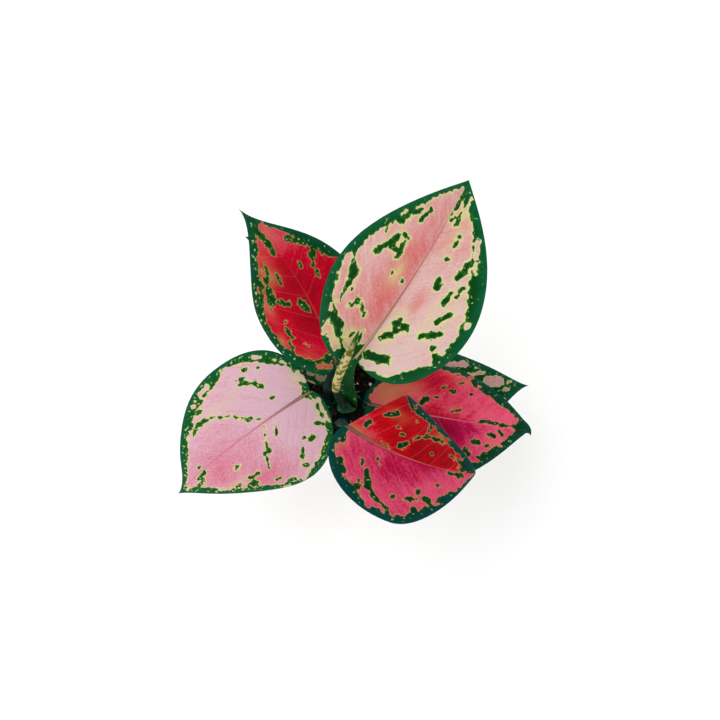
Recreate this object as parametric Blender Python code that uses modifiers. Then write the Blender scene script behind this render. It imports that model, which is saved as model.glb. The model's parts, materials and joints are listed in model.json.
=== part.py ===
"""Potted chinese evergreen: a young plant with seven variegated leaves, planted in a plain pot.

Metres, +Z up. The origin is the middle of the pot's underside, so the part rests on z = 0.
Leaf 1 (the newest, highest one) reaches to +X +Y, leaf 3 to -X -Y, leaf 5 to +X.
"""
import math

import bpy
import bmesh
from mathutils import Vector

MM = 0.001
PART = "potted_chinese_evergreen"

# pot: a plain tapered one with a rounded lip and four drain holes
POT_HEIGHT = 90
POT_BASE_RADIUS = 36
POT_TOP_RADIUS = 50
POT_WALL = 4
POT_FLOOR = 4
DRAIN_RADIUS = 4
DRAIN_CIRCLE = 20

# potting mix and the stem planted in it
SOIL_EDGE = 79
SOIL_MIDDLE = 82
PLANTING_DEPTH = 55
CLEARANCE = 0.35
STEM_PATH = [(0, 0, 55.4, 7.0), (0, 0, 70, 7.0), (0, 0, 84, 6.9), (-1.5, -0.8, 94, 6.3), (-4, -2.2, 106, 6.5),
             (-6.3, -3.6, 118, 6.0), (-8.2, -4.8, 130, 6.1), (-9.4, -5.6, 140, 5.4), (-10, -6, 149, 4.6)]

BLADE = 0.8          # leaf thickness
ROWS, COLUMNS = 20, 12

# One leaf each. base: where the blade starts. heading: compass of the midrib there, anticlockwise from +X, and
# sway: how far it turns by the tip. pitch: rise of the midrib at the base, bend: how far it has sunk by the tip,
# hook: the extra turn down in the last part. roll: the left side raised. Each half has a greatest width, the
# share of the length where it is widest, how far its basal lobe reaches back, how square its shoulder and how
# hollow its point are, and it leaves the midrib at the angle fold and turns down by curl (cup: more at the base).
LEAVES = {
    "leaf_1": dict(base=(-1, 27, 208), length=142, heading=51, sway=12, pitch=24, bend=21, hook=0, roll=10,
                   shoulder=2.0,
                   left=dict(width=57, widest=0.37, lobe=0.10, square=1.75, point=1.05, fold=35, curl=20, cup=-20),
                   right=dict(width=54, widest=0.37, lobe=0.07, square=2.3, point=1.1, fold=13, curl=14, cup=18)),
    "leaf_2": dict(base=(-15, 25, 184), length=130.5, heading=108, sway=29, pitch=12, bend=12, hook=0, roll=-8,
                   shoulder=2.1,
                   left=dict(width=45, widest=0.36, lobe=0.12, square=1.65, point=2.0, fold=4, curl=53, cup=-18),
                   right=dict(width=45, widest=0.31, lobe=0.08, square=2.4, point=2.2, fold=2, curl=60, cup=0)),
    "leaf_3": dict(base=(-35, 5, 155), length=143, heading=212, sway=10, pitch=-3, bend=36, hook=0, roll=-15,
                   shoulder=2.15,
                   left=dict(width=59, widest=0.29, lobe=0.10, square=1.8, point=1.4, fold=5, curl=33, cup=-12),
                   right=dict(width=54, widest=0.30, lobe=0.06, square=2.4, point=1.9, fold=12, curl=15, cup=10)),
    "leaf_4": dict(base=(-8, -19, 200), length=118, heading=-34, sway=30, pitch=4, bend=52, hook=53, roll=2,
                   shoulder=1.8,
                   left=dict(width=45, widest=0.28, lobe=-0.02, square=1.2, point=1.35, fold=4, curl=65, cup=-20),
                   right=dict(width=46, widest=0.43, lobe=0.07, square=2.05, point=2.0, fold=20, curl=15, cup=0)),
    "leaf_5": dict(base=(8, -4, 146), length=138, heading=-11, sway=4, pitch=4, bend=39, hook=0, roll=-2,
                   shoulder=2.1,
                   left=dict(width=42, widest=0.36, lobe=0.08, square=1.5, point=1.2, fold=4, curl=39, cup=-6),
                   right=dict(width=48, widest=0.37, lobe=0.04, square=2.4, point=1.7, fold=13, curl=30, cup=0)),
    "leaf_6": dict(base=(15, 5, 130), length=123, heading=-5, sway=16, pitch=1, bend=24, hook=0, roll=-8,
                   shoulder=1.9,
                   left=dict(width=41, widest=0.33, lobe=0.05, square=2.4, point=1.4, fold=4, curl=38, cup=0),
                   right=dict(width=42, widest=0.33, lobe=0.05, square=2.4, point=1.8, fold=4, curl=26, cup=0)),
    "leaf_7": dict(base=(-17, 11, 141), length=137, heading=108, sway=27, pitch=4, bend=22, hook=0, roll=-22,
                   shoulder=2.35,
                   left=dict(width=34, widest=0.32, lobe=-0.01, square=2.3, point=2.4, fold=4, curl=33, cup=13),
                   right=dict(width=36, widest=0.42, lobe=0.02, square=2.3, point=1.15, fold=12, curl=20, cup=0)),
}

# One leaf stalk each: height on the stem where it leaves, compass and rise there, compass and rise where it meets
# the blade, how far each end holds its direction, and the radius at the two ends.
STALKS = {
    "leaf_1": dict(height=139, leave=(80, 68), arrive=(62, 40), hold=(34, 22), radius=(4.0, 2.2)),
    "leaf_2": dict(height=129, leave=(150, 50), arrive=(70, 28), hold=(26, 24), radius=(3.0, 1.9)),
    "leaf_3": dict(height=117, leave=(190, 40), arrive=(168, 40), hold=(14, 12), radius=(3.2, 2.0)),
    "leaf_4": dict(height=132, leave=(255, 35), arrive=(300, 50), hold=(24, 22), radius=(3.4, 2.0)),
    "leaf_5": dict(height=112, leave=(-5, 35), arrive=(5, 45), hold=(12, 12), radius=(3.2, 2.0)),
    "leaf_6": dict(height=98, leave=(35, 30), arrive=(15, 40), hold=(12, 12), radius=(3.0, 1.9)),
    "leaf_7": dict(height=103, leave=(120, 30), arrive=(115, 50), hold=(14, 16), radius=(3.0, 1.8)),
}
# the next leaf, still rolled up: a spear that grows from the top of the stem
SPEAR_PATH = [(-10.6, -6, 150.4, 2.0), (-11.5, -3.5, 160, 3.0), (-13.5, 1.5, 172, 3.3), (-15, 7, 185, 3.4),
              (-13.8, 12.5, 197, 3.5), (-10.6, 19, 210, 3.3), (-6, 27.5, 222, 3.0), (-2.5, 34.5, 233, 2.0),
              (0.2, 40, 241, 1.0), (1.2, 42.5, 244.5, 0.35)]


def clear_scene():
    for item in list(bpy.data.objects):
        bpy.data.objects.remove(item, do_unlink=True)


def collection(name):
    made = bpy.data.collections.new(name)
    bpy.context.scene.collection.children.link(made)
    return made


def material(name, colour, roughness):
    made = bpy.data.materials.new(name)
    made.use_nodes = True
    shader = made.node_tree.nodes["Principled BSDF"]
    shader.inputs["Base Color"].default_value = (*colour, 1)
    shader.inputs["Roughness"].default_value = roughness
    made.diffuse_color = (*colour, 1)
    return made


def add(name, data, where, skin):
    made = bpy.data.objects.new(name, data)
    where.objects.link(made)
    if skin:
        data.materials.append(skin)
    return made


def revolve(name, profile, where, skin, steps=48):
    """A solid of revolution: the profile of (radius, height) turned about Z."""
    data = bpy.data.meshes.new(name)
    points = [(r * MM, 0, z * MM) for r, z in profile]
    data.from_pydata(points, [(i, i + 1) for i in range(len(points) - 1)], [])
    made = add(name, data, where, skin)
    turn = made.modifiers.new("turn", "SCREW")
    turn.axis = "Z"
    turn.steps = turn.render_steps = steps
    turn.use_merge_vertices = True
    turn.merge_threshold = 1e-5
    turn.use_smooth_shade = True
    return made


def rod(name, path, where, skin, around=2):
    """A round rod through points (x, y, z, radius), capped at both ends."""
    data = bpy.data.curves.new(name, "CURVE")
    data.dimensions = "3D"
    data.bevel_mode = "ROUND"
    data.bevel_depth = MM
    data.bevel_resolution = around
    data.use_fill_caps = True
    line = data.splines.new("POLY")
    line.points.add(len(path) - 1)
    for point, (x, y, z, radius) in zip(line.points, path):
        point.co = (x * MM, y * MM, z * MM, 1)
        point.radius = radius
    line.use_smooth = True
    return add(name, data, where, skin)


def cut(target, cutter):
    cutter.hide_render = True
    cutter.display_type = "WIRE"
    step = target.modifiers.new(cutter.name, "BOOLEAN")
    step.operation = "DIFFERENCE"
    step.solver = "EXACT"
    step.object = cutter


def mix(a, b, t):
    return a + (b - a) * t


def direction(compass, rise):
    c, r = math.radians(compass), math.radians(rise)
    return Vector((math.cos(r) * math.cos(c), math.cos(r) * math.sin(c), math.sin(r)))


def midrib(leaf, steps=120):
    """Points and directions along the midrib, by adding up short straight steps."""
    points, ways = [Vector(leaf["base"])], []
    for i in range(steps + 1):
        u = i / steps
        sink = leaf["bend"] * u + leaf["hook"] * max(0.0, (u - 0.85) / 0.15) ** 2
        ways.append(direction(leaf["heading"] + leaf["sway"] * u, leaf["pitch"] - sink))
        if i:
            points.append(points[-1] + (ways[-1] + ways[-2]) * 0.5 * leaf["length"] / steps)
    return points, ways


def margin(leaf, half, t):
    """Flat outline of one half at t from base to tip: (along, across) in mm, and where its vein leaves the midrib."""
    length, widest = leaf["length"], half["widest"]
    if t < 0.5:
        turn = math.pi * t
        power = 2 / half["square"]
        along = widest - (widest + half["lobe"] * math.sqrt(math.sin(turn))) * max(math.cos(turn), 0) ** power
        return along * length, half["width"] * math.sin(turn) ** power, 0.2 * (2 * t) ** 1.3 * length
    share = 2 * t - 1
    across = half["width"] * max(0.0, 1 - share ** leaf["shoulder"]) ** half["point"]
    return mix(widest, 1, share) * length, across, mix(0.2, 1, share) * length


def blade_point(leaf, rib, t, side):
    """A point of the leaf surface: t from base to tip, side from -1 (right margin) to 1 (left margin)."""
    half = leaf["left"] if side >= 0 else leaf["right"]
    along, across, vein = margin(leaf, half, t)
    out = abs(side)
    along, across = mix(vein, along, out), across * out
    points, ways = rib
    held = min(max(along, 0), leaf["length"])
    place = held / leaf["length"] * (len(points) - 1)
    low = min(int(place), len(points) - 2)
    centre = points[low].lerp(points[low + 1], place - low)
    way = ways[low].lerp(ways[low + 1], place - low).normalized()
    centre = centre + way * (along - held)
    level = Vector((-way.y, way.x, 0)).normalized()
    upward = way.cross(level)
    roll = math.radians(leaf["roll"])
    sideways = level * math.cos(roll) + upward * math.sin(roll)
    upward = upward * math.cos(roll) - level * math.sin(roll)
    basal = max(0.0, 1 - held / leaf["length"] / 0.55) ** 1.5
    rate = math.radians(half["curl"] + half["cup"] * basal) / half["width"]
    rate = rate if abs(rate) > 1e-6 else 1e-6
    start = math.radians(half["fold"])
    reach = (math.sin(start) - math.sin(start - rate * across)) / rate
    lift = (math.cos(start - rate * across) - math.cos(start)) / rate
    return centre + sideways * math.copysign(reach, side) + upward * lift


def blade(name, leaf, where, skin):
    """One leaf blade: a grid moved onto the leaf's surface, its ends drawn to points, and thickened."""
    data = bpy.data.meshes.new(name)
    build = bmesh.new()
    bmesh.ops.create_grid(build, x_segments=ROWS, y_segments=COLUMNS, size=1)
    rib = midrib(leaf)
    for corner in build.verts:
        corner.co = blade_point(leaf, rib, (corner.co.x + 1) / 2, corner.co.y) * MM
    bmesh.ops.remove_doubles(build, verts=build.verts, dist=2e-5)
    build.to_mesh(data)
    build.free()
    for face in data.polygons:
        face.use_smooth = True
    made = add(name, data, where, skin)
    thicken = made.modifiers.new("thickness", "SOLIDIFY")
    thicken.thickness = BLADE * MM
    thicken.offset = 0
    return made


def stem_at(height):
    """Centre and radius of the stem at a height."""
    for (x0, y0, z0, r0), (x1, y1, z1, r1) in zip(STEM_PATH, STEM_PATH[1:]):
        if z0 <= height <= z1:
            t = (height - z0) / (z1 - z0)
            return Vector((mix(x0, x1, t), mix(y0, y1, t), height)), mix(r0, r1, t)
    raise ValueError(height)


def stalk_path(leaf, stalk, steps=12):
    """A stalk from just off the stem to just under the start of its blade."""
    centre, stem_radius = stem_at(stalk["height"])
    thick, thin = stalk["radius"]
    leave, rise = stalk["leave"]
    first = direction(leave, rise)
    off = stem_radius + CLEARANCE + 0.4 + thick * math.sin(math.radians(rise))
    start = centre + direction(leave, 0) * off
    last = direction(*stalk["arrive"])
    end = Vector(leaf["base"]) + direction(leaf["heading"], leaf["pitch"]) * 3
    end = end - Vector((0, 0, 1)) * (BLADE / 2 + 0.6 + thin)
    hold_first, hold_last = stalk["hold"]
    knots = (start, start + first * hold_first, end - last * hold_last, end)
    path = []
    for i in range(steps + 1):
        t = i / steps
        weights = ((1 - t) ** 3, 3 * t * (1 - t) ** 2, 3 * t * t * (1 - t), t ** 3)
        spot = sum((k * w for k, w in zip(knots, weights)), Vector())
        path.append((*spot, mix(thick, thin, t)))
    return path


clear_scene()
parts = collection(PART)
cutters = collection("cutters")

glazed = material("pot_glaze", (0.78, 0.77, 0.74), 0.35)
mixture = material("potting_mix", (0.05, 0.035, 0.025), 0.95)
stem_skin = material("stem_skin", (0.16, 0.25, 0.10), 0.5)
stalk_skin = material("stalk_skin", (0.03, 0.16, 0.07), 0.4)
spear_skin = material("new_leaf_skin", (0.62, 0.60, 0.30), 0.45)
pink = material("pink_leaf", (0.72, 0.32, 0.36), 0.4)
red = material("red_leaf", (0.55, 0.02, 0.05), 0.4)
green = material("green_leaf", (0.01, 0.10, 0.03), 0.4)

slope = (POT_TOP_RADIUS - POT_BASE_RADIUS) / POT_HEIGHT


def pot_inside(height, gap=0.0):
    return POT_BASE_RADIUS + slope * height - POT_WALL - gap


pot = revolve("pot", [
    (0, POT_FLOOR), (pot_inside(POT_FLOOR) - 2, POT_FLOOR), (pot_inside(POT_FLOOR) - 0.4, POT_FLOOR + 1),
    (pot_inside(7), 7), (pot_inside(POT_HEIGHT - 1.5), POT_HEIGHT - 1.5),
    (pot_inside(POT_HEIGHT) + 1.2, POT_HEIGHT), (POT_TOP_RADIUS - 1.2, POT_HEIGHT),
    (POT_TOP_RADIUS - 0.1, POT_HEIGHT - 1.5), (POT_BASE_RADIUS + slope * 2 - 0.1, 2),
    (POT_BASE_RADIUS - 1.2, 0), (0, 0)], parts, glazed)
for number in range(4):
    angle = math.radians(45 + 90 * number)
    data = bpy.data.meshes.new("drain")
    build = bmesh.new()
    bmesh.ops.create_cone(build, cap_ends=True, segments=20, radius1=DRAIN_RADIUS * MM, radius2=DRAIN_RADIUS * MM,
                          depth=20 * MM)
    build.to_mesh(data)
    build.free()
    drain = add("drain_%d" % (number + 1), data, cutters, None)
    drain.location = (DRAIN_CIRCLE * MM * math.cos(angle), DRAIN_CIRCLE * MM * math.sin(angle), 0)
    cut(pot, drain)

hole = STEM_PATH[0][3] + CLEARANCE
revolve("soil", [
    (0, PLANTING_DEPTH), (hole, PLANTING_DEPTH), (hole, SOIL_MIDDLE), (18, SOIL_MIDDLE - 0.3), (32, SOIL_MIDDLE - 1.6),
    (pot_inside(SOIL_EDGE, CLEARANCE) - 1, SOIL_EDGE), (pot_inside(SOIL_EDGE - 1, CLEARANCE), SOIL_EDGE - 1),
    (pot_inside(8, CLEARANCE), 8), (pot_inside(POT_FLOOR) - 3, POT_FLOOR + CLEARANCE),
    (0, POT_FLOOR + CLEARANCE)], parts, mixture)
rod("stem", STEM_PATH, parts, stem_skin, around=3)
rod("new_leaf", SPEAR_PATH, parts, spear_skin)

colours = {"leaf_1": pink, "leaf_2": red, "leaf_3": pink, "leaf_4": red, "leaf_5": red, "leaf_6": green,
           "leaf_7": green}
for name, leaf in LEAVES.items():
    blade(name, leaf, parts, colours[name])
    rod(name.replace("leaf", "petiole"), stalk_path(leaf, STALKS[name]), parts, stalk_skin)
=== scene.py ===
# Potted chinese evergreen: seven variegated leaves on sheathed stalks, a rolled new leaf,
# the stem, potting mix and a plain tapered pot. Shapes are given in millimetres.
import bpy
import json
import numpy as np
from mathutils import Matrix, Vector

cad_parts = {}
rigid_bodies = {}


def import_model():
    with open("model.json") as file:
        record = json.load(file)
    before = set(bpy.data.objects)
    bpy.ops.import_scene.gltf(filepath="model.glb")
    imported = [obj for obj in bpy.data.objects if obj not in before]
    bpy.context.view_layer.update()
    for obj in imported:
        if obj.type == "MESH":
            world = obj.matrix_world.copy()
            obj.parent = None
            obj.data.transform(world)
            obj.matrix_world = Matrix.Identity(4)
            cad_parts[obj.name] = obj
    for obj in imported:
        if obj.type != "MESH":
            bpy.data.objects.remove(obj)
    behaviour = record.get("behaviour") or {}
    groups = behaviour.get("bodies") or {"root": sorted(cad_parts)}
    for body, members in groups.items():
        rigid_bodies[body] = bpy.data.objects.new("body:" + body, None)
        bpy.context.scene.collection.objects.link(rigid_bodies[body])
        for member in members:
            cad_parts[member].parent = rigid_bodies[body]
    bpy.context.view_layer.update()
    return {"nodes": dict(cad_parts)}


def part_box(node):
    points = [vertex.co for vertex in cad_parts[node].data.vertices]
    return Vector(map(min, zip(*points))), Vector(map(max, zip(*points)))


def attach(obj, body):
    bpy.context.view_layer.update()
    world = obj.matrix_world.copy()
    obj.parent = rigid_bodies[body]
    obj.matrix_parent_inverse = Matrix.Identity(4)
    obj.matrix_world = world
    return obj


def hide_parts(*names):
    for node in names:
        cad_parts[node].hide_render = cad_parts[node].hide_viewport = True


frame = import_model()
print("frame loaded:", len(frame["nodes"]), "CAD nodes")

mm = 0.001


def colour(code):  # sRGB hex to the linear values that the shader wants
    channel = np.array([int(code[i:i + 2], 16) for i in (1, 3, 5)]) / 255
    linear = np.where(channel <= 0.04045, channel / 12.92, ((channel + 0.055) / 1.055) ** 2.4)
    return (*linear.tolist(), 1.0)


def addNode(tree, kind, links=None, out=0, **settings):
    # one node: settings are its own choices, links give each socket a value or another node's output
    node = tree.nodes.new(kind)
    for key, value in settings.items():
        setattr(node, key, value)
    for socket, source in (links or {}).items():
        if isinstance(source, bpy.types.NodeSocket):
            tree.links.new(source, node.inputs[socket])
        else:
            node.inputs[socket].default_value = source
    return node.outputs[out] if len(node.outputs) else node


def ramp(tree, value, low=0.0, high=1.0, to=0.0, into=1.0, smooth=False):
    # maps low..high to to..into and stops at both ends
    return addNode(tree, "ShaderNodeMapRange", {
        "Value": value, "From Min": low, "From Max": high, "To Min": to, "To Max": into},
        interpolation_type="SMOOTHSTEP" if smooth else "LINEAR")


def calc(tree, operation, *values, clamp=False):
    return addNode(tree, "ShaderNodeMath", dict(enumerate(values)), operation=operation, use_clamp=clamp)


def mixed(tree, share, first, second):
    # first and second are each a hex colour or another node's output
    first, second = (colour(c) if isinstance(c, str) else c for c in (first, second))
    return addNode(tree, "ShaderNodeMix", {0: share, 6: first, 7: second}, 2, data_type="RGBA")


def noise(tree, vector, scale, detail, rough=0.5, bend=0.0):
    return addNode(tree, "ShaderNodeTexNoise", {
        "Vector": vector, "Scale": scale, "Detail": detail, "Roughness": rough, "Distortion": bend})


def bumped(tree, height, strength, depth):  # depth in mm
    return addNode(tree, "ShaderNodeBump", {"Height": height, "Strength": strength, "Distance": depth * mm})


def newMaterial(name):
    skin = bpy.data.materials.new(name)
    skin.use_nodes = True
    skin.node_tree.nodes.clear()
    return skin, skin.node_tree


def readAttribute(tree, label):
    return addNode(tree, "ShaderNodeAttribute", out=1, attribute_name=label)


def stretched(tree, vector, scale):
    return addNode(tree, "ShaderNodeMapping", {"Vector": vector, "Scale": scale})


def finishMaterial(tree, shade, rough, shine=0.5, bump=None):
    links = {"Base Color": shade, "Roughness": rough, "Specular IOR Level": shine}
    if bump:
        links["Normal"] = bump
    surface = addNode(tree, "ShaderNodeBsdfPrincipled", links)
    addNode(tree, "ShaderNodeOutputMaterial", {"Surface": surface})


def gridFaces(index):
    # four-cornered faces between neighbouring rows and columns of an array of vertex numbers
    return np.stack([index[:-1, :-1], index[1:, :-1], index[1:, 1:], index[:-1, 1:]], -1).reshape(-1, 4)


def makePiece(name, points, faces, skin, node=None, attributes=None):
    # puts whole arrays into a mesh: points in mm, faces as vertex numbers, attributes one row per point
    corners = np.concatenate([f.ravel() for f in faces]).astype(np.int32)
    sizes = np.concatenate([np.full(len(f), f.shape[1]) for f in faces])
    starts = np.concatenate([[0], np.cumsum(sizes)[:-1]]).astype(np.int32)
    mesh = bpy.data.meshes.new(name)
    mesh.vertices.add(len(points))
    mesh.vertices.foreach_set("co", (np.asarray(points) * mm).astype(np.float32).ravel())
    mesh.loops.add(len(corners))
    mesh.loops.foreach_set("vertex_index", corners)
    mesh.polygons.add(len(starts))
    mesh.polygons.foreach_set("loop_start", starts)
    mesh.polygons.foreach_set("use_smooth", np.ones(len(starts), bool))
    mesh.update(calc_edges=True)
    for label, values in (attributes or {}).items():
        layer = mesh.attributes.new(label, "FLOAT_VECTOR", "POINT")
        layer.data.foreach_set("vector", np.asarray(values, np.float32).ravel())
    mesh.materials.append(skin)
    piece = bpy.data.objects.new(name, mesh)
    bpy.context.scene.collection.objects.link(piece)
    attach(piece, "root")
    if node:
        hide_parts(node)
    return piece


def ringMesh(rings, first, last):
    # a closed skin over rings of points (rows, around, 3), shut by one point at each end
    rows, around = rings.shape[:2]
    index = np.arange(rows * around).reshape(rows, around)
    index = np.hstack([index, index[:, :1]])
    start, end = rows * around, rows * around + 1
    low = np.stack([np.full(around, start), index[0, 1:], index[0, :-1]], 1)
    high = np.stack([np.full(around, end), index[-1, :-1], index[-1, 1:]], 1)
    quads = gridFaces(index)[:, [0, 3, 2, 1]]
    return np.vstack([rings.reshape(-1, 3), first, last]), [quads, low, high]


def waves(x, y, size, seed, count=14):
    # soft lumps of about the given size: a sum of plane waves in scattered directions, near -1 to 1
    rng = np.random.default_rng(seed)
    total = np.zeros(np.broadcast(x, y).shape)
    turns = rng.uniform(0, np.pi, count)
    lengths = size * rng.uniform(0.7, 1.6, count)
    shifts = rng.uniform(0, 6.28, count)
    for turn, length, shift in zip(turns, lengths, shifts):
        total = total + np.sin(6.28 * (x * np.cos(turn) + y * np.sin(turn)) / length + shift)
    return total / np.sqrt(count)


def smoothLine(knots, count):
    # a cubic through the knots, which passes each one along the line that joins its neighbours
    knots = np.asarray(knots, float)
    wide = np.vstack([2 * knots[0] - knots[1], knots, 2 * knots[-1] - knots[-2]])
    slope = (wide[2:] - wide[:-2]) / 2
    place = np.linspace(0, len(knots) - 1, count)
    low = np.minimum(place.astype(int), len(knots) - 2)
    s = (place - low)[:, None]
    return (knots[low] * (2 * s ** 3 - 3 * s ** 2 + 1) + slope[low] * (s ** 3 - 2 * s ** 2 + s)
            + knots[low + 1] * (3 * s ** 2 - 2 * s ** 3) + slope[low + 1] * (s ** 3 - s ** 2))


def heading(compass, rise):
    # unit steps for a compass angle from +X and a rise above level, in degrees
    compass, rise = np.radians(compass), np.radians(rise)
    level = np.cos(rise)
    return np.stack([np.cos(compass) * level, np.sin(compass) * level, np.sin(rise) + 0 * compass], -1)


def unit(v):
    return v / np.maximum(np.linalg.norm(v, axis=-1, keepdims=True), 1e-9)


def blend(a, b, t):
    return a + (b - a) * t


def fadeIn(value, reach):
    # 0 up to zero, rising to 1 at reach
    return np.clip(value / reach, 0, 1)


def circle(count):
    # evenly spaced angles once round
    return np.linspace(0, 2 * np.pi, count, endpoint=False)


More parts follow.
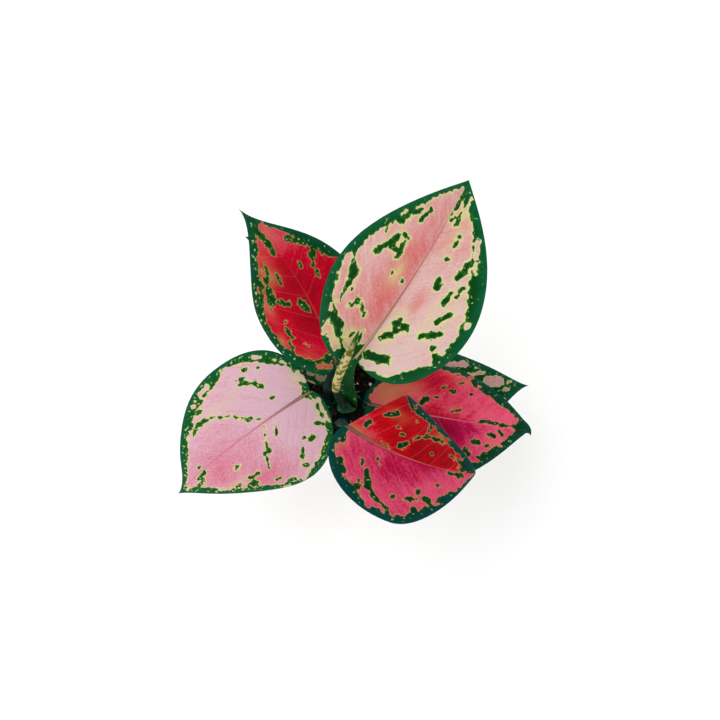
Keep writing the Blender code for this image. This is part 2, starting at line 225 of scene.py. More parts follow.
# Lengths are in mm and angles in degrees. The base is where the stalk joins. The heading is a
# compass angle from +X; sway turns it over the whole length and claw only at the tip. The pitch is
# the rise at the base; bend lowers it over the whole length and hook only near the tip.
# Each half of a blade: how wide, where it is widest, how far its lobe reaches behind the stalk,
# how square its base is, how pointed its tip, its fold up from level, its curl down to the margin
# and its extra cup near the base. A band runs (along, width) inside the margin. Streaks of green
# and windows of colour are (along, across, along, across, width), with the left half positive.
# The tone of each half runs from 0, pale, through 1, deep, to 2, dark. Glows are soft spots
# (along, across, reach along, reach across, amount) that add to it, and washes are such spots of cream.
leaves = {
    "leaf_1": dict(
        base=(-1, 27, 208), length=142, heading=51, sway=12, pitch=24, bend=21, hook=0, roll=10,
        shoulder=2.0,
        left=dict(width=57, widest=0.37, lobe=0.1, square=1.75, point=1.05, fold=35, curl=20, cup=-20),
        right=dict(width=54, widest=0.37, lobe=0.07, square=2.3, point=1.1, fold=13, curl=14, cup=18),
        bandLeft=[(-5, 9), (0, 12), (10, 17), (20, 12), (27, 8), (33, 7), (45, 6), (58, 10), (63, 9),
            (70, 7), (80, 6), (90, 6), (97, 7), (113, 5), (120, 3.5), (130, 3), (138, 3)],
        bandRight=[(-3, 4), (0, 6), (5, 9), (15, 9), (25, 6), (30, 12), (38, 9), (50, 7), (60, 10), (70, 9),
            (80, 11), (90, 12), (95, 10), (100, 12), (105, 9), (110, 8), (120, 6), (125, 6), (130, 5),
            (135, 3)],
        streaks=[(34, 41, 56, 41, 3.5), (50, 41, 56, 44, 6), (34, 30, 39, 28, 3.5), (31, 17, 38, 24, 2.5),
            (44, 36, 44, 37, 2), (72, 37, 82, 31, 4), (76, 21, 86, 23, 4), (81, 31, 85, 29, 5),
            (80, 30, 79, 23, 4), (83, 30, 90, 27, 2.5), (90, 27, 89, 21, 2.5), (64, 17, 65, 17, 2.5),
            (62, 6, 63, 7, 2.5), (15, 16, 16, 16, 3.5), (98, 33, 107, 31, 8), (105, 28, 108, 24, 4),
            (103, 20, 112, 17, 3), (87, 38, 88, 38, 2), (2, 4, 10, 9, 5), (2, 4, 20, 10, 2.5),
            (7, -5, 12, -17, 7), (22, -5, 37, -14, 4), (27, -10, 40, -9, 4), (37, -8, 38, -15, 5),
            (39, -26, 47, -36, 4.5), (52, -30, 62, -34, 3.5), (65, -27, 73, -27, 3.5),
            (73, -31, 80, -32, 2.5), (83, -25, 95, -27, 4), (71, -17, 76, -16, 4), (90, -13, 91, -13, 3),
            (100, -13, 106, -13, 2.5), (112, -6, 120, -6, 2.5), (114, -2, 136, -1, 3), (137, 0, 142, 0, 4),
            (120, -7, 134, -4, 3), (75, -39, 76, -39, 2.5), (36, -38, 37, -38, 4)],
        windows=[(3, 20, 15, 37, 6), (10, 36, 17, 39, 4), (26, 42, 29, 43, 3), (35, 43, 52, 48, 6),
            (50, 50, 61, 50, 5), (86, 25, 87, 25, 4), (100, 34, 103, 33, 2.8), (1, -7, 6, -22, 7),
            (61, -48, 62, -48, 4.5), (37, -44, 52, -43, 5), (100, -28.5, 110, -24, 4),
            (92, -33, 97, -31, 3.6), (116, -2, 124, -4, 2), (118, -7, 132, -7, 2)],
        toneLeft=0.52, toneRight=0.18,
        glows=[(52, 12, 40, 11, 0.42), (90, 10, 25, 12, 0.15), (30, 30, 14, 12, 0.15),
            (55, -12, 9, 4.5, 0.6), (108, -12, 26, 12, 0.42), (70, 40, 20, 10, -0.15),
            (20, -22, 22, 14, -0.2), (112, 8, 20, 12, -0.1)],
        washes=[(33, -8, 13, 4, 1.25), (66, 14, 9, 4, 0.9), (16, 17, 6, 5, 0.9), (10, 24, 8, 12, 0.8),
            (60, -34, 12, 5, 0.4), (84, 27, 7, 6, 0.95), (4, 6, 6, 4, 0.8), (112, -10, 20, 5, 0.35),
            (56, -24, 18, 3, 0.5)]),
    "leaf_2": dict(
        base=(-15, 25, 184), length=130.5, heading=108, sway=29, pitch=12, bend=12, hook=0, roll=-8,
        shoulder=2.1,
        left=dict(width=45, widest=0.36, lobe=0.12, square=1.65, point=2.0, fold=4, curl=53, cup=-18),
        right=dict(width=45, widest=0.31, lobe=0.08, square=2.4, point=2.2, fold=2, curl=60, cup=0),
        bandLeft=[(-5, 8), (0, 9), (10, 8), (20, 8), (30, 8), (40, 7), (50, 8), (60, 9), (70, 12), (80, 12),
            (90, 7), (100, 8), (105, 6), (110, 5), (118, 3), (125, 3)],
        bandRight=[(0, 6), (60, 6), (65, 5), (70, 8), (75, 9), (80, 9), (85, 8), (90, 7), (95, 4), (100, 3),
            (110, 2), (120, 2)],
        streaks=[(17, 27, 25, 27, 2.5), (29, 23, 36, 25, 3), (18, 14, 20, 16, 1.5), (41, 23, 42, 23, 1.5),
            (43, 4, 50, 6, 4), (53, 14, 56, 18, 4), (56, 20, 60, 21, 2.5), (56, 28, 62, 28, 2),
            (60, 24, 70, 22, 6.5), (68, 11, 75, 10, 2.5), (76, 19, 86, 14, 5), (89, 3, 98, 0, 3.5),
            (97, 2, 110, 2, 4.5), (4, 18, 5, 8, 2), (60, -14, 62, -15, 3), (67, -15, 68, -16, 3),
            (72, -18, 80, -24, 4.5), (82, -19, 92, -11, 4), (70, -7, 75, -8, 1.2), (116, 0, 130.5, 0, 9)],
        windows=[(53, 31, 66, 28, 3.5), (68, 27, 72, 24, 2), (24, 31, 32, 34, 3.5), (80, 18, 84, 15, 2),
            (87, 17, 98, 6, 5), (98, -2, 110, -3, 4), (-1, 5, 1, 13, 4), (73, 30, 76, 28, 1.5),
            (66, 34, 68, 33, 1.5), (84, -15, 86, -14, 1.5)],
        toneLeft=1.35, toneRight=1.25,
        glows=[(55, 2, 30, 20, 0.42), (10, 14, 14, 14, -0.35), (30, 4, 12, 10, 0.3), (102, 0, 16, 14, -0.9),
            (42, 30, 14, 7, -0.15), (90, -12, 10, 7, -0.5), (60, 30, 14, 5, -0.6)],
        washes=[(0, 9, 4, 8, 0.7), (8, 20, 7, 8, 0.35), (92, 12, 8, 5, 0.3), (77, 16, 7, 6, 0.9),
            (104, -3, 10, 4, 0.5), (28, 32, 6, 3, 0.7), (60, 30, 12, 4, 0.5)]),
    "leaf_3": dict(
        base=(-35, 5, 155), length=143, heading=212, sway=10, pitch=-3, bend=36, hook=0, roll=-15,
        shoulder=2.15,
        left=dict(width=59, widest=0.29, lobe=0.1, square=1.8, point=1.4, fold=5, curl=33, cup=-12),
        right=dict(width=54, widest=0.3, lobe=0.06, square=2.4, point=1.9, fold=12, curl=15, cup=10),
        bandLeft=[(-5, 4), (5, 6), (10, 6), (20, 8), (30, 7), (37, 6), (45, 4), (55, 4), (62, 6), (70, 5),
            (78, 6), (85, 7.5), (90, 6.5), (100, 5.5), (110, 6), (118, 6.5), (132, 6)],
        bandRight=[(-3, 4), (0, 6), (5, 9), (15, 8), (20, 7), (30, 5), (40, 3), (45, 8), (55, 9), (65, 9),
            (70, 9), (75, 8), (80, 7), (90, 6), (105, 6), (115, 5), (125, 4), (132, 3)],
        streaks=[(18, 30, 21, 31, 4), (23, 27, 24, 27, 2), (30, 34, 36, 41, 2.5), (36, 47, 40, 46, 4),
            (54, 52, 60, 50, 4), (63, 43, 67, 43, 2.5), (72, 29, 82, 28, 3), (83, 34, 88, 33, 6),
            (93, 28, 108, 27, 2.5), (80, 15, 85, 15, 2), (52, 20, 57, 20, 3), (50, 14, 53, 18, 2),
            (35, 7, 40, 13, 1.5), (107, 2, 116, 3, 3), (112, 5, 120, 7, 3), (5, 25, 9, 22, 3),
            (0, 12, 1, 22, 4), (46, -8, 50, -9, 2.5), (50, -11, 54, -17, 2), (57, -20, 63, -24, 1.5),
            (66, -27, 67, -27, 3), (72, -29, 80, -29, 3.5), (23, -12, 24, -12, 3), (25, -24, 31, -32, 3),
            (32, -33, 36, -34, 3), (33, -37, 34, -37, 3), (27, -41, 28, -41, 3.5), (19, -37, 20, -37, 2),
            (82, -28, 88, -26, 2.5), (106, -4, 107, -4, 2), (70, -38, 73, -37, 3), (83, -33, 86, -33, 5),
            (42, -4, 46, -8, 1.5), (43, 2, 50, 14, 1.2), (57, 22, 63, 30, 1.2), (136, 0, 143, 0, 4)],
        windows=[(24, 46, 33, 48, 4), (-2, 8, 0, 25, 3), (120, 4, 126, 3, 3), (-1, -10, 0, -18, 4),
            (52, -48, 62, -46, 3), (84, -29, 93, -26, 2.5), (3, -28, 5, -31, 1.6), (7, -34, 8, -36, 1.6),
            (92, 35.5, 97, 32.5, 2.2), (104, 25, 110, 21, 2.4), (64, 54, 68, 53, 2.4),
            (44, 55, 50, 56, 2.4), (68, -44, 73, -42, 2.6), (36, -50, 41, -51, 2.2),
            (15, -42, 18, -45, 2.4), (126, 2, 132, 2, 2.4)],
        toneLeft=0.25, toneRight=0.18,
        glows=[(72, 38, 26, 16, 0.7), (92, 6, 36, 22, 0.5), (20, 0, 25, 40, -0.3), (112, 10, 20, 14, 0.12)],
        washes=[(0, 14, 5, 14, 0.5), (2, -14, 5, 10, 0.6), (58, -30, 20, 6, 0.25), (95, 26, 14, 4, 0.4)]),
    "leaf_4": dict(
        base=(-8, -19, 200), length=118, heading=-34, sway=30, pitch=4, bend=52, hook=53, roll=2,
        shoulder=1.8,
        left=dict(width=45, widest=0.28, lobe=-0.02, square=1.2, point=1.35, fold=4, curl=65, cup=-20),
        right=dict(width=46, widest=0.43, lobe=0.07, square=2.05, point=2.0, fold=20, curl=15, cup=0),
        bandLeft=[(-5, -1), (30, -1), (35, 6), (40, 9), (45, 10), (50, 10), (55, 9), (60, 8), (70, 5),
            (80, 6), (90, 6), (95, 8), (100, 10), (105, 8), (110, 6), (116, 4)],
        bandRight=[(-3, 4), (0, 4), (10, 6), (20, 7), (30, 5), (35, 4), (45, 6), (55, 6), (60, 5), (63, 7),
            (70, 6), (75, 7), (80, 6), (85, 7), (90, 3), (95, 2)],
        streaks=[(59, 19, 82, 19, 2.5), (12, 8, 13, 11, 3), (24, 23, 29, 26, 4), (41, 6, 44, 8, 4),
            (34, 17, 36, 18, 1.8), (38, 13, 40, 14, 1.2), (48, 14, 60, 19, 1.6), (84, -2, 96, -3, 3),
            (20, 20, 25, 24, 1.4), (60, 24, 62, 27, 3), (47, 27, 48, 27, 1.4), (83, 10, 86, 9, 2),
            (92, 3, 97, 2, 2.5), (65, 8, 66, 8, 1.4), (28, 3, 34, 2, 1.2), (21, -14, 22, -18, 1.8),
            (27, -20, 31, -29, 4), (31, -29, 38, -35, 2.8), (38, -35, 46, -38, 2.6), (23, -29, 26, -33, 4),
            (9, -22, 13, -28, 5), (30, -9, 32, -12, 1.4), (62, -21, 62, -25, 3), (55, -27, 62, -26, 2),
            (68, -24, 74, -27, 4), (62, -33, 66, -37, 4.5), (47, -28, 48, -28, 2), (75, -13, 76, -14, 1.8),
            (82, -21, 88, -17, 5), (2, -3, 4, -9, 3.5)],
        windows=[(44, 38, 45, 38, 2.5), (62, 24, 67, 24, 1.6), (70, 22, 79, 20.5, 3.4), (88, 12, 93, 9, 3),
            (31, -33, 36, -40, 4.6), (43, -41, 44, -41, 2.5), (49, -40, 50, -40, 2.6),
            (12, -16, 22, -30, 4), (70, -28, 78, -25, 1.4)],
        toneLeft=1.55, toneRight=0.42,
        glows=[(52, -8, 16, 7, 0.5), (36, -15, 11, 10, 0.5), (62, 8, 16, 8, 0.35), (20, -12, 12, 10, 0.25),
            (82, -18, 22, 12, -0.35), (12, 6, 14, 10, -0.75), (100, 0, 12, 16, -0.35),
            (60, -2, 40, 3, 0.3)],
        washes=[(8, 2, 12, 3, 0.6), (3, -12, 4, 6, 0.7), (30, 25, 10, 4, 0.3), (72, 21, 8, 3, 0.5)]),
    "leaf_5": dict(
        base=(8, -4, 146), claw=-75, length=138, heading=-11, sway=4, pitch=4, bend=39, hook=0, roll=-2,
        shoulder=2.1,
        left=dict(width=42, widest=0.36, lobe=0.08, square=1.5, point=1.2, fold=4, curl=39, cup=-6),
        right=dict(width=48, widest=0.37, lobe=0.04, square=2.4, point=1.7, fold=13, curl=30, cup=0),
        bandLeft=[(0, 3), (45, 3), (55, 4), (62, 5), (75, 5), (80, 6), (85, 9), (90, 9), (100, 7), (105, 8),
            (110, 7), (115, 5), (120, 4), (135, 3)],
        bandRight=[(0, 6), (75, 6), (85, 7), (90, 10), (95, 9), (100, 8), (110, 7), (120, 6), (125, 8),
            (135, 8)],
        streaks=[(54, 22, 57, 24, 2.5), (60, 21, 64, 21, 3), (49, 14, 51, 14, 1.6), (63, 6, 70, 8, 1.2),
            (39, 9, 43, 12, 4), (77, 21, 78, 21, 1.5), (86, 1.5, 104, 2, 1.8), (105, 1, 123, 2, 2.6),
            (82, -14, 87, -15, 3.5), (94, -7, 100, -8, 3), (104, -4, 107, -6, 2.6), (94, -16, 96, -17, 2.6),
            (76, -21, 80, -24, 3), (66, 27, 72, 29, 1.4), (125, 0, 138, 0, 14)],
        windows=[(82, -27, 88, -28, 3.4), (100, -15, 107, -15, 2.2), (76, 32, 79, 36, 3.4),
            (60, 35, 68, 36, 2.2), (84, 29, 86, 28, 1.6)],
        toneLeft=0.5, toneRight=0.7,
        glows=[(52, -6, 17, 12, 0.95), (70, -10, 16, 9, 0.6), (48, 26, 20, 10, 0.8), (95, 12, 25, 14, -0.2),
            (108, 4, 18, 10, -0.35), (100, -14, 25, 10, -0.45)],
        washes=[(80, 30, 12, 3, 0.6), (12, 12, 13, 12, 1.1), (30, 18, 10, 7, 0.5), (105, -14, 10, 4, 0.5),
            (64, 35, 8, 3, 0.5), (66, 7, 5, 2, 0.5)]),
    "leaf_6": dict(
        base=(15, 5, 130), length=123, heading=-5, sway=16, pitch=1, bend=24, hook=0, roll=-8, shoulder=1.9,
        left=dict(width=41, widest=0.33, lobe=0.05, square=2.4, point=1.4, fold=4, curl=38, cup=0),
        right=dict(width=42, widest=0.33, lobe=0.05, square=2.4, point=1.8, fold=4, curl=26, cup=0),
        bandLeft=[(0, 60), (120, 60)],
        bandRight=[(0, 60), (120, 60)],
        streaks=[(16, 9, 22, 14, 2.5), (31, -9, 36, -13, 2.5), (33, 7, 37, 11, 2)],
        windows=[(55, 25, 72, 24, 5.5), (88, 8, 98, 7, 8), (70, 15, 86, 15, 3), (100, -1, 105, 0, 2),
            (66, -14, 80, -13, 5), (90, -9, 98, -8, 3), (10, 5, 24, 16, 9), (12, -5, 26, -17, 9),
            (30, 4, 44, 15, 9), (32, -6, 46, -18, 8), (50, 3, 60, 10, 6), (24, 22, 34, 28, 4),
            (28, -26, 38, -30, 4), (52, -6, 62, -14, 5), (76, 4, 82, 8, 2.5), (104, 5, 108, 5, 1.6),
            (80, 20, 84, 19, 1.6)],
        toneLeft=0.4, toneRight=0.5,
        glows=[(93, 7, 12, 7, -0.1), (62, 25, 12, 6, -0.4), (35, 0, 20, 20, 0.4)],
        washes=[(76, 15, 10, 4, 0.6), (90, 4, 12, 4, 0.4)]),
    "leaf_7": dict(
        base=(-17, 11, 141), length=137, heading=108, sway=27, pitch=4, bend=22, hook=0, roll=-22,
        shoulder=2.35,
        left=dict(width=34, widest=0.32, lobe=-0.01, square=2.3, point=2.4, fold=4, curl=33, cup=13),
        right=dict(width=36, widest=0.42, lobe=0.02, square=2.3, point=1.15, fold=12, curl=20, cup=0),
        bandLeft=[(0, 60), (130, 60)],
        bandRight=[(0, 60), (130, 60)],
        streaks=[(33, 8, 37, 12, 2), (50, -9, 54, -12, 2.4)],
        windows=[(6, 5, 9, 12, 4), (12, 9, 15, 18, 4), (5, 17, 8, 20, 2.5), (20, 20, 26, 24, 3),
            (16, 3, 20, 6, 2.5), (26, 5, 40, 16, 7), (28, -4, 42, -15, 7), (44, 4, 58, 14, 6),
            (46, -5, 62, -17, 7), (62, 3, 74, 11, 5), (66, -4, 78, -12, 5), (80, 3, 88, 7, 3),
            (86, -3, 94, -7, 2.6), (34, 21, 42, 25, 3), (52, -23, 60, -26, 3), (98, 1, 104, 3, 1.8),
            (8, -6, 16, -14, 3.5), (20, -18, 26, -23, 2.6)],
        toneLeft=0.3, toneRight=0.4,
        glows=[(50, 0, 24, 14, 0.5)],
        washes=[(10, 14, 8, 8, 0.5), (50, 0, 30, 8, 0.2)]),
}

leafMesh = dict(
    rows=200, columns=76,             # columns on each side of the midrib
    thick=0.3, edgeRound=0.7,         # half the blade's thickness, and how far in its edge is rounded
    groove=0.5, ridge=1.1,            # midrib above and below
    ribWide=1.9, ribThin=0.45,        # how wide the midrib is by the stalk and towards the tip
    ribTaper=0.6,                     # share of the length over which it narrows
    veinGap=8.5, veinDip=0.08,        # lateral veins: spacing and depth
    veinWide=1.1, veinWobble=0.12,    # their half-width, and how unevenly they are spaced
    veinSlant=0.75, veinCurve=0.006,  # how far a vein runs forward on its way out, and its bend
    ripple=0.65, rippleLength=55,     # slow waves that grow to the margin
    hookFrom=0.85, clawFrom=0.92)     # shares of the length where a hook and a claw begin


def midribLine(leaf, steps=240):
    # adds up short steps along a direction that turns with sway and sinks with bend, faster at a hooked tip
    u = np.linspace(0, 1, steps + 1)
    tips = (leafMesh["hookFrom"], leafMesh["clawFrom"])
    atHook, atClaw = (np.clip((u - low) / (1 - low), 0, None) for low in tips)
    sink = leaf["bend"] * u + leaf["hook"] * atHook ** 2
    turn = leaf["heading"] + leaf["sway"] * u + leaf.get("claw", 0) * atClaw ** 1.5
    way = heading(turn, leaf["pitch"] - sink)
    step = (way[1:] + way[:-1]) / 2 * leaf["length"] / steps
    base = np.array(leaf["base"], float)
    return np.vstack([base, base + np.cumsum(step, 0)]), way


def marginOf(leaf, half, t):
    # flat outline of one half: a squared ellipse round the base up to the widest place, then a power curve
    # to the tip; the third value is where the vein that ends there leaves the midrib
    length, widest = leaf["length"], half["widest"]
    turn, power, share = np.pi * np.minimum(t, 0.5), 2 / half["square"], np.clip(2 * t - 1, 0, 1)
    lower = widest - (widest + half["lobe"] * np.sqrt(np.sin(turn))) * np.clip(np.cos(turn), 0, None) ** power
    along = np.where(t < 0.5, lower, blend(widest, 1, share))
    across = np.where(t < 0.5, np.sin(turn) ** power, (1 - share ** leaf["shoulder"]) ** half["point"])
    vein = np.where(t < 0.5, 0.2 * (2 * t) ** 1.3, blend(0.2, 1, share))
    return along * length, across * half["width"], vein * length


def bladeSurface(leaf, t, side):
    # a point is carried out from the midrib along an arc that starts at the fold and curls down to the
    # margin; returns the points and their flat place (along, across)
    left = side >= 0
    alongLeft, acrossLeft, vein = marginOf(leaf, leaf["left"], t)
    alongRight, acrossRight, _ = marginOf(leaf, leaf["right"], t)
    out = np.abs(side)
    along = blend(vein, np.where(left, alongLeft, alongRight), out)
    across = np.where(left, acrossLeft, acrossRight) * out
    line, way = midribLine(leaf)
    place = np.clip(along, 0, leaf["length"]) / leaf["length"]
    steps = np.linspace(0, 1, len(line))
    centre = np.stack([np.interp(place, steps, line[:, k]) for k in range(3)], -1)
    toward = unit(np.stack([np.interp(place, steps, way[:, k]) for k in range(3)], -1))
    centre = centre + toward * (along - place * leaf["length"])[..., None]
    level = unit(np.stack([-toward[..., 1], toward[..., 0], 0 * along], -1))
    upward = np.cross(toward, level)
    roll = np.radians(leaf["roll"])
    sideways = level * np.cos(roll) + upward * np.sin(roll)
    upward = upward * np.cos(roll) - level * np.sin(roll)
    basal = np.clip(1 - place / 0.55, 0, None) ** 1.5
    pick = lambda key: np.where(left, leaf["left"][key], leaf["right"][key])
    rate = np.radians(pick("curl") + pick("cup") * basal) / pick("width")
    rate = np.where(np.abs(rate) < 1e-6, 1e-6, rate)
    fold = np.radians(pick("fold"))
    reach = (np.sin(fold) - np.sin(fold - rate * across)) / rate
    lift = (np.cos(fold - rate * across) - np.cos(fold)) / rate
    sign = np.where(left, 1, -1)
    points = centre + sideways * (reach * sign)[..., None] + upward * lift[..., None]
    return points, along, across * sign


def stripDistance(x, y, strips):
    # signed distance inside a set of round-ended strips: half the width less the distance to the middle line
    best = np.full(x.shape, -99.0)
    for x0, y0, x1, y1, width in strips:
        run = np.array([x1 - x0, y1 - y0], float)
        share = np.clip(((x - x0) * run[0] + (y - y0) * run[1]) / (run @ run), 0, 1)
        best = np.maximum(best, width / 2 - np.hypot(x - x0 - share * run[0], y - y0 - share * run[1]))
    return best


def softSpots(x, y, spots):
    # a sum of round-edged spots
    total = np.zeros(x.shape)
    for x0, y0, reachX, reachY, amount in spots:
        total = total + amount * np.exp(-((x - x0) / reachX) ** 2 - ((y - y0) / reachY) ** 2)
    return total


def makeLeaf(name, leaf, skin, seed):
    rows, columns, length = leafMesh["rows"], leafMesh["columns"], leaf["length"]
    t = np.linspace(0, 1, rows + 1)[:, None] + np.zeros((1, 2 * columns + 1))
    s = np.linspace(-1, 1, 2 * columns + 1)[None, :] + np.zeros((rows + 1, 1))
    side = np.sign(s) * (0.35 * np.abs(s) + 0.65 * np.abs(s) ** 1.6)  # closer together by the midrib
    points, along, across = bladeSurface(leaf, t, side)
    left, out = s >= 0, np.abs(across)

    # distance to the margin, and how far along the nearest margin point is
    edge, nearest = np.zeros(t.shape), np.zeros(t.shape)
    for half, wing in (("left", left), ("right", ~left)):
        rimAlong, rimAcross, _ = marginOf(leaf, leaf[half], np.linspace(0, 1, 400))
        gap = np.hypot(along[wing][:, None] - rimAlong, out[wing][:, None] - rimAcross)
        edge[wing], nearest[wing] = gap.min(1), rimAlong[gap.argmin(1)]

    # green: the band inside the margin and the streaks, less the windows
    bands = [np.interp(nearest, *np.array(leaf[key]).T) for key in ("bandLeft", "bandRight")]
    green = np.maximum(np.where(left, *bands) - edge, stripDistance(along, across, leaf["streaks"]))
    green = np.minimum(green, -stripDistance(along, across, leaf["windows"]))

    # colour: the tone of each half, eased over 2.5 mm at the midrib, and its soft spots
    tone = np.where(left, leaf["toneLeft"], leaf["toneRight"])
    tone = blend((leaf["toneLeft"] + leaf["toneRight"]) / 2, tone, fadeIn(out, 2.5))
    tone = tone + softSpots(along, across, leaf["glows"])
    wash = softSpots(along, across, leaf["washes"])

    # relief: slow ripples, dips along the lateral veins and swelling between them
    root = along - leafMesh["veinSlant"] * out - leafMesh["veinCurve"] * out ** 2  # where its vein begins
    phase = root / leafMesh["veinGap"] + leafMesh["veinWobble"] * waves(root, 0 * root, 40, seed)
    fromVein = np.abs(phase - np.round(phase)) * leafMesh["veinGap"]
    quilt = leafMesh["veinDip"] * (0.8 - 1.6 * np.exp(-(fromVein / leafMesh["veinWide"]) ** 2))
    quilt = quilt * fadeIn(edge, 6) * fadeIn(out, 5) * fadeIn(length - along, 25)
    ripple = leafMesh["ripple"] * side ** 2 * waves(along, across, leafMesh["rippleLength"], seed + 9, 8)
    ripple = ripple * fadeIn(along, 20) * fadeIn(length - along, 15)
    narrowed = fadeIn(along / length, leafMesh["ribTaper"]) ** 0.6
    ribWidth = blend(leafMesh["ribWide"], leafMesh["ribThin"], narrowed)
    rib = np.exp(-(out / ribWidth) ** 2) * blend(1, 0.35, fadeIn(along, length))
    normal = unit(np.cross(np.gradient(points, axis=0), np.gradient(points, axis=1)))
    normal[0], normal[-1] = normal[2], normal[-3]
    thick = leafMesh["thick"] * np.sqrt(1 - (1 - fadeIn(edge, leafMesh["edgeRound"])) ** 2)
    lift = ripple + quilt
    top = points + normal * (lift + thick - leafMesh["groove"] * rib)[..., None]
    under = points + normal * (lift - thick - leafMesh["ridge"] * rib)[..., None]

    # one shared row of points at the margin and one at each end closes the skin
    inner = (slice(1, -1), slice(1, -1))
    count = (rows - 1) * (2 * columns - 1)
    topIndex, underIndex = np.zeros(t.shape, int), np.zeros(t.shape, int)
    topIndex[inner] = np.arange(count).reshape(rows - 1, -1)
    underIndex[inner] = topIndex[inner] + count
    rimIndex = 2 * count + np.arange(2 * (rows - 1)).reshape(2, -1)
    for index in (topIndex, underIndex):
        index[1:-1, 0], index[1:-1, -1] = rimIndex
        index[0], index[-1] = rimIndex.max() + 1, rimIndex.max() + 2

    def gather(upper, lower, rim):
        # one row per point: the upper side, the underside, both margins and both ends
        parts = [upper[inner], lower[inner], rim[1:-1, 0], rim[1:-1, -1], rim[0, columns], rim[-1, columns]]
        return np.concatenate([part.reshape(-1, 3) for part in parts])

    def fan(index, row, pole, turn):
        # triangles between one end and the row beside it
        end = np.full(index.shape[1] - 1, index[pole, 0])
        return np.stack([end, index[row, :-1], index[row, 1:]], 1)[:, ::turn]

    quads = [gridFaces(topIndex[1:-1]), gridFaces(underIndex[1:-1])[:, ::-1]]
    fans = [fan(topIndex, 1, 0, 1), fan(topIndex, -2, -1, -1),
            fan(underIndex, 1, 0, -1), fan(underIndex, -2, -1, 1)]

    # what the skin is drawn with: plan follows the veins, place is flat with the side in its third value
    plan = np.stack([root, 0.75 * out, seed * 37.0 + np.where(left, 0, 15.0)], -1)
    paint = np.stack([green, tone, wash], -1)
    ribs = np.stack([ribWidth - out, edge, phase], -1)
    place = np.stack([along, across, 0 * along], -1)
    attributes = {
        "plan": gather(plan, plan, plan), "paint": gather(paint, paint, paint),
        "rib": gather(ribs, ribs, ribs), "place": gather(place, place + [0, 0, 1.0], place + [0, 0, 0.5])}
    makePiece(name + "_blade", gather(top, under, (top + under) / 2), [np.vstack(quads), np.vstack(fans)],
              skin, name, attributes)


